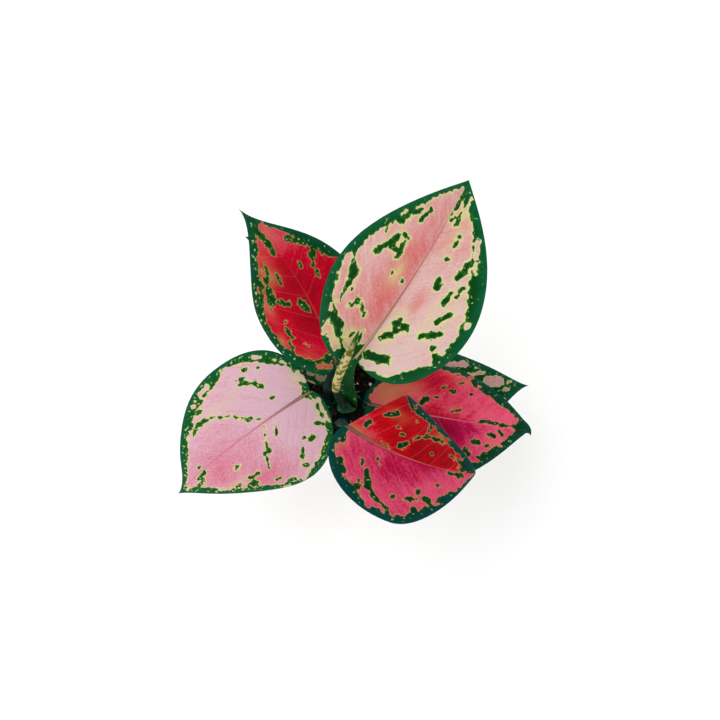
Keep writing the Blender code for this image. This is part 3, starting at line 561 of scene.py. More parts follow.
def leafSkin(name, look, seed):
    # Living leaf, waxy above: satin sheen, a fine grain of cells, colour that breaks along the veins and
    # dark green that closes in from the margin, with a pale line where the two meet and pale specks within.
    skin, tree = newMaterial(name)
    split = lambda label: addNode(tree, "ShaderNodeSeparateXYZ", {0: readAttribute(tree, label)}).node.outputs
    plan = readAttribute(tree, "plan")
    flat = addNode(tree, "ShaderNodeMapping", {
        "Vector": readAttribute(tree, "place"), "Location": (seed * 171.0, seed * 57.0, 0.0)})
    green, tone, wash = split("paint")
    ribEdge, margin, veinPhase = split("rib")
    along, across, under = split("place")

    # green edge: lobes about 4 mm across, patches drawn out along the veins, ragged teeth of about 1 mm
    lobes = noise(tree, flat, 0.27, 0.6, rough=0.5)
    patch = noise(tree, plan, 0.3, 1.0, rough=0.5)
    ragged = noise(tree, flat, 0.95, 1.5, rough=0.6)
    grown = green
    for layer, key in ((lobes, "lobes"), (patch, "patch"), (ragged, "ragged")):
        grown = calc(tree, "MULTIPLY_ADD", layer, look[key], grown)
    evened = sum(look[key] for key in ("lobes", "patch", "ragged")) / 2  # as each noise is 0.5 on average
    grown = calc(tree, "SUBTRACT", grown, evened)

    # pale specks of 1 to 2 mm inside the green, thickest near its inner edge, and green flecks outside it
    speck = noise(tree, flat, look["speckScale"], 0.5, bend=0.4)
    depthIn = ramp(tree, grown, 1.0, 9.0, look["speckFrom"], look["speckFrom"] + 0.1)
    pale = calc(tree, "SUBTRACT", speck, depthIn)
    pale = ramp(tree, pale, 0.0, 0.08, 0.0, 0.9)
    offRim = ramp(tree, margin, 1.2, 2.2)
    offEdge = ramp(tree, grown, 0.7, 1.5)
    for keep in (offRim, offEdge):
        pale = calc(tree, "MULTIPLY", pale, keep)
    fleck = noise(tree, flat, 0.62, 1.0, bend=0.8)
    nearby = ramp(tree, grown, -9.0, -1.0, 0.09, 0.0)
    fleck = calc(tree, "SUBTRACT", fleck, nearby)
    fleck = ramp(tree, fleck, look["fleckFrom"], look["fleckFrom"] + 0.06, 0.0, 3.0)
    nearOnly = ramp(tree, grown, -12.0, -8.0)
    fleck = calc(tree, "MULTIPLY", fleck, nearOnly)
    spotted = calc(tree, "ADD", grown, fleck)
    isGreen = ramp(tree, spotted, -0.22, 0.22, smooth=True)
    isHalo = ramp(tree, spotted, -look["haloWidth"], -0.2)

    # coloured middle: pale to deep to dark by tone, paler close to the green, with a broad mottle,
    # a 2 mm mottle and a grain of cells; the right half may have a deep colour of its own
    mottle = noise(tree, plan, 0.13, 3.0, rough=0.6)
    patches = noise(tree, flat, 0.5, 2.0, rough=0.6)
    grain = noise(tree, flat, 1.25, 2.0, rough=0.75)
    hatch = noise(tree, stretched(tree, plan, (1.0, 0.12, 1.0)), 0.85, 2.0, rough=0.6)  # fine side veins
    close = ramp(tree, grown, -7.0, -0.5, 0.0, look["edgePale"])
    depth = tone
    for layer, key in ((mottle, "mottle"), (patches, "patches"), (grain, "grain"), (hatch, "hatch")):
        depth = calc(tree, "MULTIPLY_ADD", layer, look[key], depth)
    evened = sum(look[key] for key in ("mottle", "patches", "grain", "hatch")) / 2
    depth = calc(tree, "SUBTRACT", depth, evened)
    depth = calc(tree, "SUBTRACT", depth, close)
    rightHalf = ramp(tree, across, 1.0, -1.0)
    deepTone = mixed(tree, rightHalf, look["deep"], look.get("deepRight", look["deep"]))
    middle = mixed(tree, depth, look["pale"], deepTone)
    deeper = calc(tree, "SUBTRACT", depth, 1.0, clamp=True)
    middle = mixed(tree, deeper, middle, look["dark"])
    creamy = calc(tree, "MULTIPLY", wash, patches)
    creamy = calc(tree, "MULTIPLY", creamy, 1.6, clamp=True)
    middle = mixed(tree, creamy, middle, look["cream"])

    # lateral veins: a thin broken line each
    offVein = calc(tree, "PINGPONG", veinPhase, 1.0)
    veinLine = ramp(tree, offVein, 0.0, 0.075, look["vein"], 0.0)
    veinLine = calc(tree, "MULTIPLY", veinLine, mottle)
    middle = mixed(tree, veinLine, middle, look["veinColour"])
    isHalo = calc(tree, "POWER", isHalo, 1.6)
    haloFactor = calc(tree, "MULTIPLY", isHalo, look["halo"])
    middle = mixed(tree, haloFactor, middle, look["haloColour"])

    # green: a little brighter where it begins, dark inside, bluer towards the margin as a painted sheen
    deepness = ramp(tree, spotted, 0.0, 1.6)
    leafGreen = mixed(tree, deepness, look["greenEdge"], look["green"])
    rimSheen = ramp(tree, margin, 0.5, 8.0, 1.6, 0.0)
    rimSheen = calc(tree, "MULTIPLY", rimSheen, mottle, clamp=True)
    leafGreen = mixed(tree, rimSheen, leafGreen, look["greenRimSheen"])
    leafGreen = mixed(tree, pale, leafGreen, look["speckColour"])
    cells = ramp(tree, grain, 0.3, 0.7, 0.9 - look["cells"], 0.9 + look["cells"])
    shade = mixed(tree, isGreen, middle, leafGreen)
    shade = addNode(tree, "ShaderNodeVectorMath", {0: shade, 1: cells}, operation="MULTIPLY")

    # midrib: broad and tan by the stalk, then only a fine line towards the tip
    outward = ramp(tree, along, 0.0, look["ribRun"])
    ribTint = mixed(tree, outward, look["ribBase"], look["ribTip"])
    brink = ramp(tree, ribEdge, 0.55, 1.15, 1.0, 0.0)
    inward = calc(tree, "SUBTRACT", 1.0, outward)
    brink = calc(tree, "MULTIPLY", brink, inward)
    ribTint = mixed(tree, brink, ribTint, look["ribBrink"])
    onRib = ramp(tree, ribEdge, 0.1, 0.4, 0.0, 0.9)
    faint = ramp(tree, outward, 0.2, 1.0, 1.0, look["ribFaint"])
    onRib = calc(tree, "MULTIPLY", onRib, faint)
    hidden = calc(tree, "MULTIPLY", isGreen, outward)  # lost in the green near the tip
    shown = ramp(tree, hidden, 0.2, 0.9, 1.0, 0.1)
    onRib = calc(tree, "MULTIPLY", onRib, shown)
    shade = mixed(tree, onRib, shade, ribTint)

    # the underside is paler and duller
    underness = ramp(tree, under, 0.6, 0.95, 0.0, 0.6)
    shade = mixed(tree, underness, shade, look["under"])
    gloss = ramp(tree, grain, 0.3, 0.7, look["rough"] - 0.05, look["rough"] + 0.07)
    bump = bumped(tree, grain, 0.45, 0.3)
    finishMaterial(tree, shade, gloss, look["shine"], bump)
    return skin


# in each look, the bluish green used near the margin is a painted sheen
pinkLook = dict(
    pale="#d7b9b4", deep="#cf6a68", dark="#b84a50", cream="#d0c884", edgePale=0.1,
    mottle=0.8, patches=0.8, grain=1.5, hatch=0.6, cells=0.15, vein=0.3, veinColour="#b0686a",
    halo=0.95, haloWidth=2.1, haloColour="#cfd089", greenEdge="#2a6a1c", green="#003d0e", greenRimSheen="#005c36",
    lobes=4.2, patch=2.6, ragged=0.7, speckScale=0.36, speckFrom=0.66, speckColour="#a9bd68", fleckFrom=0.72,
    ribBase="#c2b47c", ribBrink="#342c10", ribTip="#a5565c", ribRun=122.0, ribFaint=0.85,
    under="#8f9f80", rough=0.47, shine=0.07)
redLook = dict(
    pale="#d84a66", deep="#c00018", dark="#80000f", cream="#a8764c", edgePale=0.25,
    mottle=1.7, patches=1.4, grain=1.7, hatch=0.9, cells=0.26, vein=0.4, veinColour="#d8707c",
    halo=0.85, haloWidth=1.1, haloColour="#ab7f54", greenEdge="#1c4a12", green="#002c0c", greenRimSheen="#004334",
    lobes=4.2, patch=2.6, ragged=0.8, speckScale=0.42, speckFrom=0.65, speckColour="#86a05a", fleckFrom=0.70,
    ribBase="#5c5642", ribBrink="#221f16", ribTip="#c67c76", ribRun=60.0, ribFaint=0.5,
    under="#7d6a62", rough=0.5, shine=0.04)
greenLook = dict(
    redLook, halo=0.9, haloWidth=1.3, mottle=1.0,
    ribBase="#6d7a50", ribBrink="#2c4a2c", ribTip="#3f6a48", ribRun=90.0)
looks = {
    "leaf_1": ("pinkLeafUpper", "pink_leaf", pinkLook),
    "leaf_2": ("redLeafCrimson", "red_leaf", dict(
        redLook, pale="#cc4258", deep="#bc0024", dark="#900014", vein=0.26, mottle=1.3,
        greenEdge="#1e5a14", green="#003a10", greenRimSheen="#004c34", speckFrom=0.595, speckColour="#a2b466",
        ribTip="#c43c48", ribFaint=0.3)),
    "leaf_3": ("pinkLeafLilac", "pink_leaf", dict(
        pinkLook, pale="#dab2c0", deep="#d27288", dark="#c04c64", cream="#d6d08a", grain=1.9, patches=1.35,
        hatch=0.3, haloColour="#d2d08c", haloWidth=1.5, greenEdge="#2f6a1a", green="#034a08",
        speckScale=0.46, speckFrom=0.59, speckColour="#b4c672",
        ribBase="#857a4a", ribTip="#c8506e", ribRun=52.0, ribFaint=0.6)),
    "leaf_4": ("redLeafScarlet", "red_leaf", dict(
        redLook, pale="#cc4868", deep="#b80010", deepRight="#a8063c", dark="#84000a", vein=0.32,
        green="#002a1c", greenRimSheen="#00403e")),
    "leaf_5": ("redLeafRose", "red_leaf", dict(
        redLook, pale="#de5272", deep="#c00c2c", deepRight="#aa0644", dark="#860026", cream="#c2784e",
        greenRimSheen="#004838", ribTip="#d88a8c")),
    "leaf_6": ("greenLeafRosy", "green_leaf", dict(
        greenLook, pale="#bd8a92", deep="#a83c50", dark="#8c2438", cream="#b9b07f", haloColour="#b4b878",
        greenEdge="#1a5a20", green="#003a14", greenRimSheen="#00503a", speckFrom=0.62, under="#5c7d5c")),
    "leaf_7": ("greenLeafDeep", "green_leaf", dict(
        greenLook, pale="#98806f", deep="#8c4c4c", dark="#6c2c38", cream="#a9b882", haloColour="#a8b478",
        greenEdge="#154c20", green="#003012", greenRimSheen="#003f2c", speckFrom=0.60, under="#587a58")),
}
for number, (name, leaf) in enumerate(leaves.items()):
    skinName, slot, look = looks[name]
    makeLeaf(name, leaf, leafSkin(skinName, look, number + 1), number + 1)
print("leaves made:", len(leaves))


stem = dict(
    knots=[(0, 0, 55.4, 7.0), (0, 0, 70, 7.0), (0, 0, 84, 6.9), (-1.5, -0.8, 94, 6.3), (-4, -2.2, 106, 6.5),
           (-6.3, -3.6, 118, 6.0), (-8.2, -4.8, 130, 6.1), (-9.4, -5.6, 140, 5.4), (-10, -6, 149, 4.6)],
    nodeGap=9.5, nodeSwell=0.07)

# where each stalk leaves the stem, the compass and rise it leaves and arrives with, how far it holds
# each of them, its radius at the stem and at the blade, and how much wider its sheath is
stalks = {
    "petiole_1": dict(leaf="leaf_1", height=139, leave=(80, 68), arrive=(62, 40), hold=(34, 22),
                      radius=(4.0, 2.2), sheath=2.3),
    "petiole_2": dict(leaf="leaf_2", height=129, leave=(150, 50), arrive=(70, 28), hold=(26, 24),
                      radius=(3.0, 1.9), sheath=1.5),
    "petiole_3": dict(leaf="leaf_3", height=117, leave=(190, 40), arrive=(168, 40), hold=(14, 12),
                      radius=(3.2, 2.0), sheath=1.5),
    "petiole_4": dict(leaf="leaf_4", height=132, leave=(255, 35), arrive=(300, 50), hold=(24, 22),
                      radius=(3.4, 2.0), sheath=1.5),
    "petiole_5": dict(leaf="leaf_5", height=112, leave=(-5, 35), arrive=(5, 45), hold=(12, 12),
                      radius=(3.2, 2.0), sheath=1.5),
    "petiole_6": dict(leaf="leaf_6", height=98, leave=(35, 30), arrive=(15, 40), hold=(12, 12),
                      radius=(3.0, 1.9), sheath=1.5),
    "petiole_7": dict(leaf="leaf_7", height=103, leave=(120, 30), arrive=(115, 50), hold=(14, 16),
                      radius=(3.0, 1.8), sheath=1.5),
}
stalkMesh = dict(
    rows=70, around=40,       # rows from the stem to the blade
    ribRows=20, ribRun=0.16,  # rows under the midrib, and the share of the blade that they reach
    tuck=0.95,                # how far below the blade's base the stalk's middle runs, in its own radii
    eases=24, easeFrom=30)    # passes that ease the bend where stalk meets blade, and their first row

newLeaf = dict(
    knots=[(-10.1, -6, 146.4, 2.2), (-11.5, -3.5, 160, 3.0), (-13.5, 1.5, 172, 3.3), (-15, 7, 185, 3.4),
           (-13.8, 12.5, 197, 3.5), (-10.6, 19, 210, 3.3), (-6, 27.5, 222, 3.0), (-2.5, 34.5, 233, 2.0),
           (0.2, 40, 241, 1.0), (1.2, 42.5, 244.5, 0.35)],
    overlap=0.22, twist=1.1)


def sweep(line, side, acrossProfile, upProfile):
    # carries a profile along a line: each point is the line plus its share sideways and its share upwards
    tangent = unit(np.gradient(line, axis=0))
    up = unit(np.cross(tangent, side))
    side = np.cross(up, tangent)
    rings = line[:, None] + side[:, None] * acrossProfile[..., None] + up[:, None] * upProfile[..., None]
    return ringMesh(rings, line[:1], line[-1:])


def sweepPlan(rows, around, length, seed):
    # how far along, in mm, and how far round, in radians, each point is, for patterns that follow the surface
    along = np.linspace(0, length, rows)[:, None] + np.zeros((1, around))
    turn = circle(around)[None, :] + np.zeros((rows, 1))
    skinRows = np.stack([along, turn, np.full(along.shape, float(seed))], -1).reshape(-1, 3)
    return np.vstack([skinRows, [[0, 0, seed]], [[length, 0, seed]]])


def stalkSkin(name, look):
    # Fleshy green stalk, smooth and waxy: streaked lengthwise, with a few pale flecks.
    skin, tree = newMaterial(name)
    spot = addNode(tree, "ShaderNodeTexCoord", out=3)
    plan = readAttribute(tree, "plan")
    streak = noise(tree, stretched(tree, plan, (0.05, 1.6, 1.0)), 1.0, 3.0)
    cloud = noise(tree, spot, 90.0, 3.0)   # 11 mm clouds
    fleck = noise(tree, spot, 260.0, 1.0)  # 4 mm flecks
    body = ramp(tree, cloud, 0.35, 0.65)
    shade = mixed(tree, body, look["dark"], look["light"])
    line = ramp(tree, streak, 0.45, 0.75, 0.0, look["streak"])
    shade = mixed(tree, line, shade, look["line"])
    dots = ramp(tree, fleck, look["fleckFrom"], look["fleckFrom"] + 0.05, 0.0, 0.85)
    shade = mixed(tree, dots, shade, look["fleck"])
    gloss = ramp(tree, cloud, 0.3, 0.7, 0.46, 0.62)
    bump = bumped(tree, streak, 0.3, 0.3)
    finishMaterial(tree, shade, gloss, 0.05, bump)
    return skin


def makeStem():
    # a round rod whose radius swells at each ring left by an old leaf
    around, rows = 48, 150
    line = smoothLine(stem["knots"], rows)
    centre, radius = line[:, :3], line[:, 3]
    travel = np.concatenate([[0], np.cumsum(np.linalg.norm(np.diff(centre, axis=0), axis=1))])
    phase = travel / stem["nodeGap"]
    ring = np.exp(-((phase - np.round(phase)) * stem["nodeGap"] / 0.8) ** 2)
    radius = radius * (1 + stem["nodeSwell"] * ring - 0.03 * (phase % 1))
    turn = circle(around)
    radius = radius[:, None] * (1 + 0.015 * np.sin(3 * turn + 0.4 * phase[:, None]))
    side = np.tile([[1.0, 0, 0]], (rows, 1))
    points, faces = sweep(centre, side, radius * np.cos(turn), radius * np.sin(turn))
    look = dict(dark="#0a3018", light="#1f5030", line="#4a7046", streak=0.5, fleck="#7f9060", fleckFrom=0.68)
    makePiece("stem_rod", points, faces, stalkSkin("stemSkin", look), "stem",
              {"plan": sweepPlan(rows, around, 95, 3)})


def stemAt(height):
    knots = np.array(stem["knots"])
    return np.array([np.interp(height, knots[:, 2], knots[:, k]) for k in range(4)])


def makeStalk(name, stalk, skin, seed):
    # a cubic curve from inside the stem to the blade's base and on under the midrib; the lower part is a
    # sheath whose two edges rise and leave a channel between them, the upper part rounds off
    leaf, around, ribRun = leaves[stalk["leaf"]], stalkMesh["around"], stalkMesh["ribRun"]
    thick, thin = stalk["radius"]
    hub = stemAt(stalk["height"])
    line, way = midribLine(leaf)
    level = unit(np.array([-way[0, 1], way[0, 0], 0]))
    upward = np.cross(way[0], level)
    outward = heading(stalk["leave"][0], 0)
    start = hub[:3] + outward * hub[3] * 0.3
    first = hub[:3] + outward * (hub[3] + 1) + heading(*stalk["leave"]) * stalk["hold"][0]
    end = np.array(leaf["base"], float) - upward * thin * stalkMesh["tuck"] + way[0] * 0.5
    last = end - heading(*stalk["arrive"]) * stalk["hold"][1]
    u = np.linspace(0, 1, stalkMesh["rows"])[:, None]
    curve = start * (1 - u) ** 3 + first * 3 * (1 - u) ** 2 * u + last * 3 * (1 - u) * u ** 2 + end * u ** 3
    run = np.linspace(0.01, ribRun, stalkMesh["ribRows"])
    picks = (run * (len(line) - 1)).astype(int)
    underRib = line[picks] - upward * blend(thin * stalkMesh["tuck"], 0.7, (run / ribRun)[:, None])
    path = np.vstack([curve, underRib])
    ease = stalkMesh["easeFrom"]
    for _ in range(stalkMesh["eases"]):
        path[ease:-1] = (path[ease - 1:-2] + 2 * path[ease:-1] + path[ease + 1:]) / 4
    radius = np.concatenate([blend(thick, thin, u[:, 0] ** 0.8), blend(thin, 0.5, (run / ribRun) ** 0.8)])
    share = np.concatenate([u[:, 0], np.ones(len(run))])
    sheath = np.clip(1 - share / 0.75, 0, 1) ** 0.8
    wide = radius * (1 + (stalk["sheath"] - 1) * sheath)
    turn = circle(around)
    topFactor = blend(0.75, -0.35, sheath)[:, None]
    rise = radius[:, None] * np.sin(turn) * np.where(np.sin(turn) > 0, topFactor, 1)
    rise = rise + (0.55 * radius * sheath)[:, None] * np.abs(np.cos(turn)) ** 4

    # the channel faces up: its sideways direction turns with the stalk and ends square to the blade
    leave, arrive = stalk["leave"][0], stalk["arrive"][0]
    compass = np.radians(leave + ((arrive - leave + 180) % 360 - 180) * share)
    turnLeft = (np.radians(leaf["heading"]) - compass + np.pi) % (2 * np.pi) - np.pi
    compass = compass + turnLeft * np.clip((share - 0.6) / 0.4, 0, 1)
    side = np.stack([-np.sin(compass), np.cos(compass), 0 * compass], 1)
    points, faces = sweep(path, side, wide[:, None] * np.cos(turn), rise)
    length = np.linalg.norm(np.diff(path, axis=0), axis=1).sum()
    makePiece(name + "_stalk", points, faces, skin, name,
              {"plan": sweepPlan(len(path), around, length, seed)})


def newLeafSkin():
    # Young rolled blade, still cream: soft wax sheen, olive blotches across the roll, green towards the tip,
    # and dark sheath green deepened to near black at the foot as painted shade of the crown.
    skin, tree = newMaterial("rolledLeafSkin")
    plan = readAttribute(tree, "plan")
    along = addNode(tree, "ShaderNodeSeparateXYZ", {0: plan})
    blotch = noise(tree, stretched(tree, plan, (0.27, 0.6, 1.0)), 1.0, 1.0, bend=0.2)
    line = noise(tree, stretched(tree, plan, (0.15, 3.0, 1.0)), 1.0, 2.0)
    olive = ramp(tree, blotch, 0.46, 0.54, smooth=True)
    shade = mixed(tree, olive, "#b5a872", "#4f5618")
    faint = ramp(tree, line, 0.4, 0.7, 0.0, 0.3)
    shade = mixed(tree, faint, shade, "#a79a5a")
    tip = ramp(tree, along, 78.0, 90.0)
    shade = mixed(tree, tip, shade, "#274d1a")
    # the foot turns to dark sheath green deepened to near black: painted shade of the crown
    foot = ramp(tree, along, 34.0, 37.0, 1.0, 0.0)
    shade = mixed(tree, foot, shade, "#05240f")
    bump = bumped(tree, line, 0.3, 0.3)
    finishMaterial(tree, shade, 0.55, 0.04, bump)
    return skin


def makeNewLeaf():
    # a scroll: the radius grows once round and steps down at the free edge, which winds slowly up the roll
    around, rows = 72, 150
    line = smoothLine(newLeaf["knots"], rows)
    centre, radius = line[:, :3], line[:, 3]
    turn = circle(around)[None, :]
    seam = newLeaf["twist"] * np.pi * np.linspace(0, 1, rows)[:, None] + 0.6
    past = ((turn - seam) % (2 * np.pi)) / (2 * np.pi)
    step = fadeIn(past, 0.04)  # the free edge itself is a short steep ramp
    reach = 1 - newLeaf["overlap"] * (1 - past) * step + 0.02 * np.sin(4 * turn + seam * 3)
    reach = radius[:, None] * reach * (1 - 0.06 * np.exp(-((past - 0.04) / 0.03) ** 2))
    side = np.tile([[1.0, 0, 0]], (rows, 1))
    points, faces = sweep(centre, side, reach * np.cos(turn), reach * np.sin(turn))
    makePiece("new_leaf_roll", points, faces, newLeafSkin(), "new_leaf",
              {"plan": sweepPlan(rows, around, 108, 5)})


makeStem()
stalkLook = dict(dark="#00140f", light="#042c26", line="#12443c", streak=0.4, fleck="#587a5a", fleckFrom=0.70)
stalkGreen = stalkSkin("stalkSkinTeal", stalkLook)
sheathGreen = stalkSkin("stalkSkinSheath", dict(
    stalkLook, dark="#002a0c", light="#08521c", line="#24662c", fleck="#8fae70", fleckFrom=0.66))
for number, (name, stalk) in enumerate(stalks.items()):
    makeStalk(name, stalk, sheathGreen if name == "petiole_1" else stalkGreen, number + 1)
makeNewLeaf()
print("stem, stalks and new leaf made")


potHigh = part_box("pot")[1]
pot = dict(
    height=potHigh.z / mm, topRadius=potHigh.x / mm + 0.1, baseRadius=36, wall=4, floor=4,
    corner=3, lip=2.0, footRound=1.4,  # rounding inside at the floor, at the lip and at the foot
    drainRadius=4, drainCircle=20, drains=4)
soil = dict(edge=79, middle=82, gap=0.35, crumbs=900, bark=120, perlite=36)


def potOuter(z):
    return pot["baseRadius"] + (pot["topRadius"] - pot["baseRadius"]) / pot["height"] * z


def potInner(z):
    return potOuter(z) - pot["wall"]


def potRings(radius, turn, height):
    # rings of points about the pot's axis
    return np.stack([radius * np.cos(turn), radius * np.sin(turn), height + 0 * radius * turn], -1)


def lathe(profile, around):
    # turns (radius, height) pairs round the pot's axis; the first and last pairs lie on the axis
    profile = np.asarray(profile, float)
    turn = -circle(around)
    wall = potRings(profile[1:-1, :1], turn, profile[1:-1, 1:])
    return ringMesh(wall, [[0, 0, profile[0, 1]]], [[0, 0, profile[-1, 1]]])


def glazeSkin():
    # Glazed stoneware: a clear soft gloss over warm white, tiny iron specks, a drier edge at lip and foot.
    skin, tree = newMaterial("glazedStoneware")
    spot = addNode(tree, "ShaderNodeTexCoord", out=3)
    height = addNode(tree, "ShaderNodeSeparateXYZ", {0: spot}, 2)
    cloud = noise(tree, spot, 40.0, 3.0)   # 25 mm clouds in the glaze
    speck = noise(tree, spot, 900.0, 1.0)  # 1 mm specks
    tint = ramp(tree, cloud, 0.35, 0.65)
    shade = mixed(tree, tint, "#dcd8cd", "#e9e6de")
    dots = ramp(tree, speck, 0.72, 0.78, 0.0, 0.55)
    shade = mixed(tree, dots, shade, "#8b7458")
    thin = ramp(tree, height, 88.3 * mm, 90.0 * mm, 0.0, 0.35)
    shade = mixed(tree, thin, shade, "#b9a88c")
    bare = ramp(tree, height, 2.2 * mm, 2.9 * mm, 1.0, 0.0)
    shade = mixed(tree, bare, shade, "#b8a78f")
    gloss = ramp(tree, bare, 0.0, 1.0, 0.24, 0.7)
    bump = bumped(tree, cloud, 0.2, 0.6)
    finishMaterial(tree, shade, gloss, bump=bump)
    return skin


def makePot():
    # a half-round lip, a tapered wall with faint throwing rings, a rounded foot, and drain holes cut through
    top, lip, corner, foot = pot["height"], pot["lip"], pot["corner"], pot["footRound"]
    wallLow, wallHigh = pot["floor"] + corner, top - lip - 0.5
    floorEdge = potInner(wallLow) - corner
    swing = np.linspace(0, np.pi, 17)
    bend = np.linspace(0, np.pi / 2, 9)[1:]
    lipRadius = (potOuter(top) + potInner(top)) / 2
    lipArc = np.stack([lipRadius - lip * np.cos(swing), top - lip + lip * np.sin(swing)], 1)
    up = np.linspace(wallLow, wallHigh, 60)
    inner = np.stack([potInner(up), up], 1)
    down = np.linspace(wallHigh, 3, 90)
    thrown = 0.12 * np.sin(down * 2.1) * fadeIn(80 - down, 20)  # none by the lip
    outer = np.stack([potOuter(down) - 0.1 + thrown, down], 1)
    floorArc = np.stack([floorEdge + corner * np.sin(bend), wallLow - corner * np.cos(bend)], 1)
    footArc = np.stack([potOuter(0) - foot + foot * np.cos(bend), foot - foot * np.sin(bend)], 1)
    flatIn = np.stack([np.linspace(3, floorEdge, 8), np.full(8, float(pot["floor"]))], 1)
    flatOut = np.stack([np.linspace(potOuter(0) - 4, 3, 8), np.full(8, 0.0)], 1)
    profile = np.vstack([
        [[0, pot["floor"]]], flatIn, floorArc, inner, lipArc, outer, footArc, flatOut, [[0, 0]]])
    points, faces = lathe(profile, 160)
    shell = makePiece("pot_shell", points, faces, glazeSkin(), "pot")
    drain = pot["drainRadius"]
    drillPoints, drillFaces = lathe([(0, -5), (drain, -5), (drain, 12), (0, 12)], 40)
    drillFaces = [face for part in drillFaces for face in part.tolist()]
    for k in range(pot["drains"]):
        turn = np.radians(45 + 360 / pot["drains"] * k)
        place = [pot["drainCircle"] * np.cos(turn), pot["drainCircle"] * np.sin(turn), 0]
        mesh = bpy.data.meshes.new("drill")
        mesh.from_pydata(((drillPoints + place) * mm).tolist(), [], drillFaces)
        cutter = bpy.data.objects.new("drill", mesh)
        bpy.context.scene.collection.objects.link(cutter)
        cut = shell.modifiers.new("drain", "BOOLEAN")
        cut.operation, cut.object, cut.solver = "DIFFERENCE", cutter, "EXACT"
    bpy.context.view_layer.update()
    cutMesh = bpy.data.meshes.new_from_object(shell.evaluated_get(bpy.context.evaluated_depsgraph_get()))
    shell.modifiers.clear()
    shell.data = cutMesh
    for cutter in [o for o in bpy.data.objects if o.name.startswith("drill")]:
        bpy.data.objects.remove(cutter)


def soilSkin():
    # Peat potting mix, damp: matt dark brown deepened to near black as painted shade under the leaves,
    # crumbly, with darker damp patches.
    skin, tree = newMaterial("peatPottingMix")
    spot = addNode(tree, "ShaderNodeTexCoord", out=3)
    lump = noise(tree, spot, 320.0, 5.0, rough=0.7)  # 3 mm crumbs
    cloud = noise(tree, spot, 70.0, 2.0)             # 14 mm damp patches
    tint = ramp(tree, lump, 0.3, 0.7)
    # near-black browns: painted shade of the crown over the peat's own dark brown
    shade = mixed(tree, tint, "#050403", "#18110b")
    damp = ramp(tree, cloud, 0.4, 0.6, 0.0, 0.4)
    shade = mixed(tree, damp, shade, "#0d0906")
    bump = bumped(tree, lump, 0.8, 1.2)
    finishMaterial(tree, shade, 0.92, 0.15, bump)
    return skin


def crumbSkin(name, dark, light, size):
    # Bits in the mix: bark is fibrous brown, perlite is expanded white glass, both dull.
    skin, tree = newMaterial(name)
    spot = addNode(tree, "ShaderNodeTexCoord", out=3)
    speckle = noise(tree, spot, 1000.0 / size, 4.0)
    tint = ramp(tree, speckle, 0.3, 0.7)
    shade = mixed(tree, tint, dark, light)
    bump = bumped(tree, speckle, 0.5, 0.4)
    finishMaterial(tree, shade, 0.9, 0.15, bump)
    return skin


def soilHeight(x, y):
    radius = np.hypot(x, y)
    rim = potInner(soil["edge"])
    dome = blend(soil["middle"], soil["edge"], fadeIn(radius, rim) ** 2)
    lumps = 0.55 * waves(x, y, 9, 21) + 0.4 * waves(x, y, 4, 22)
    return dome + lumps - 0.6 * np.exp(-((rim - radius) / 2.0) ** 2)


def turned(a, b, angle):
    # a pair of coordinates turned by an angle, one for each row
    cosine, sine = np.cos(angle)[:, None], np.sin(angle)[:, None]
    return a * cosine - b * sine, a * sine + b * cosine


def scatterBits(name, count, size, skin, seed):
    # many small lumps in one mesh: a twelve-cornered ball, stretched, turned and set on the soil
    rng = np.random.default_rng(seed)
    g = (1 + 5 ** 0.5) / 2
    ball = unit(np.array([(-1, g, 0), (1, g, 0), (-1, -g, 0), (1, -g, 0), (0, -1, g), (0, 1, g),
                          (0, -1, -g), (0, 1, -g), (g, 0, -1), (g, 0, 1), (-g, 0, -1), (-g, 0, 1)], float))
    skinFaces = np.array([(0, 11, 5), (0, 5, 1), (0, 1, 7), (0, 7, 10), (0, 10, 11), (1, 5, 9), (5, 11, 4),
                          (11, 10, 2), (10, 7, 6), (7, 1, 8), (3, 9, 4), (3, 4, 2), (3, 2, 6), (3, 6, 8),
                          (3, 8, 9), (4, 9, 5), (2, 4, 11), (6, 2, 10), (8, 6, 7), (9, 8, 1)])
    scale = size * rng.uniform(0.5, 1.3, (count, 1)) * rng.uniform(0.45, 1.2, (count, 3)) / 2
    bits = ball[None] * scale[:, None] * rng.uniform(0.8, 1.15, (count, 12, 1))
    spin, lean = rng.uniform(0, 6.28, count), rng.uniform(-0.6, 0.6, count)
    x, y, z = bits[..., 0], bits[..., 1], bits[..., 2]
    y, z = turned(y, z, lean)
    x, y = turned(x, y, spin)
    compass = rng.uniform(0, 6.28, count)
    nearest, furthest = 8.5, potInner(soil["edge"]) - 2.8  # clear of the stem and of the pot
    radius = nearest + (furthest - nearest) * np.sqrt(rng.uniform(0, 1, count))
    px, py = radius * np.cos(compass), radius * np.sin(compass)
    pz = soilHeight(px, py) + 0.12 * size
    points = np.stack([x + px[:, None], y + py[:, None], z + pz[:, None]], -1).reshape(-1, 3)
    faces = (skinFaces[None] + 12 * np.arange(count)[:, None, None]).reshape(-1, 3)
    piece = makePiece(name, points, [faces], skin)
    piece.data.polygons.foreach_set("use_smooth", np.zeros(len(faces), bool))


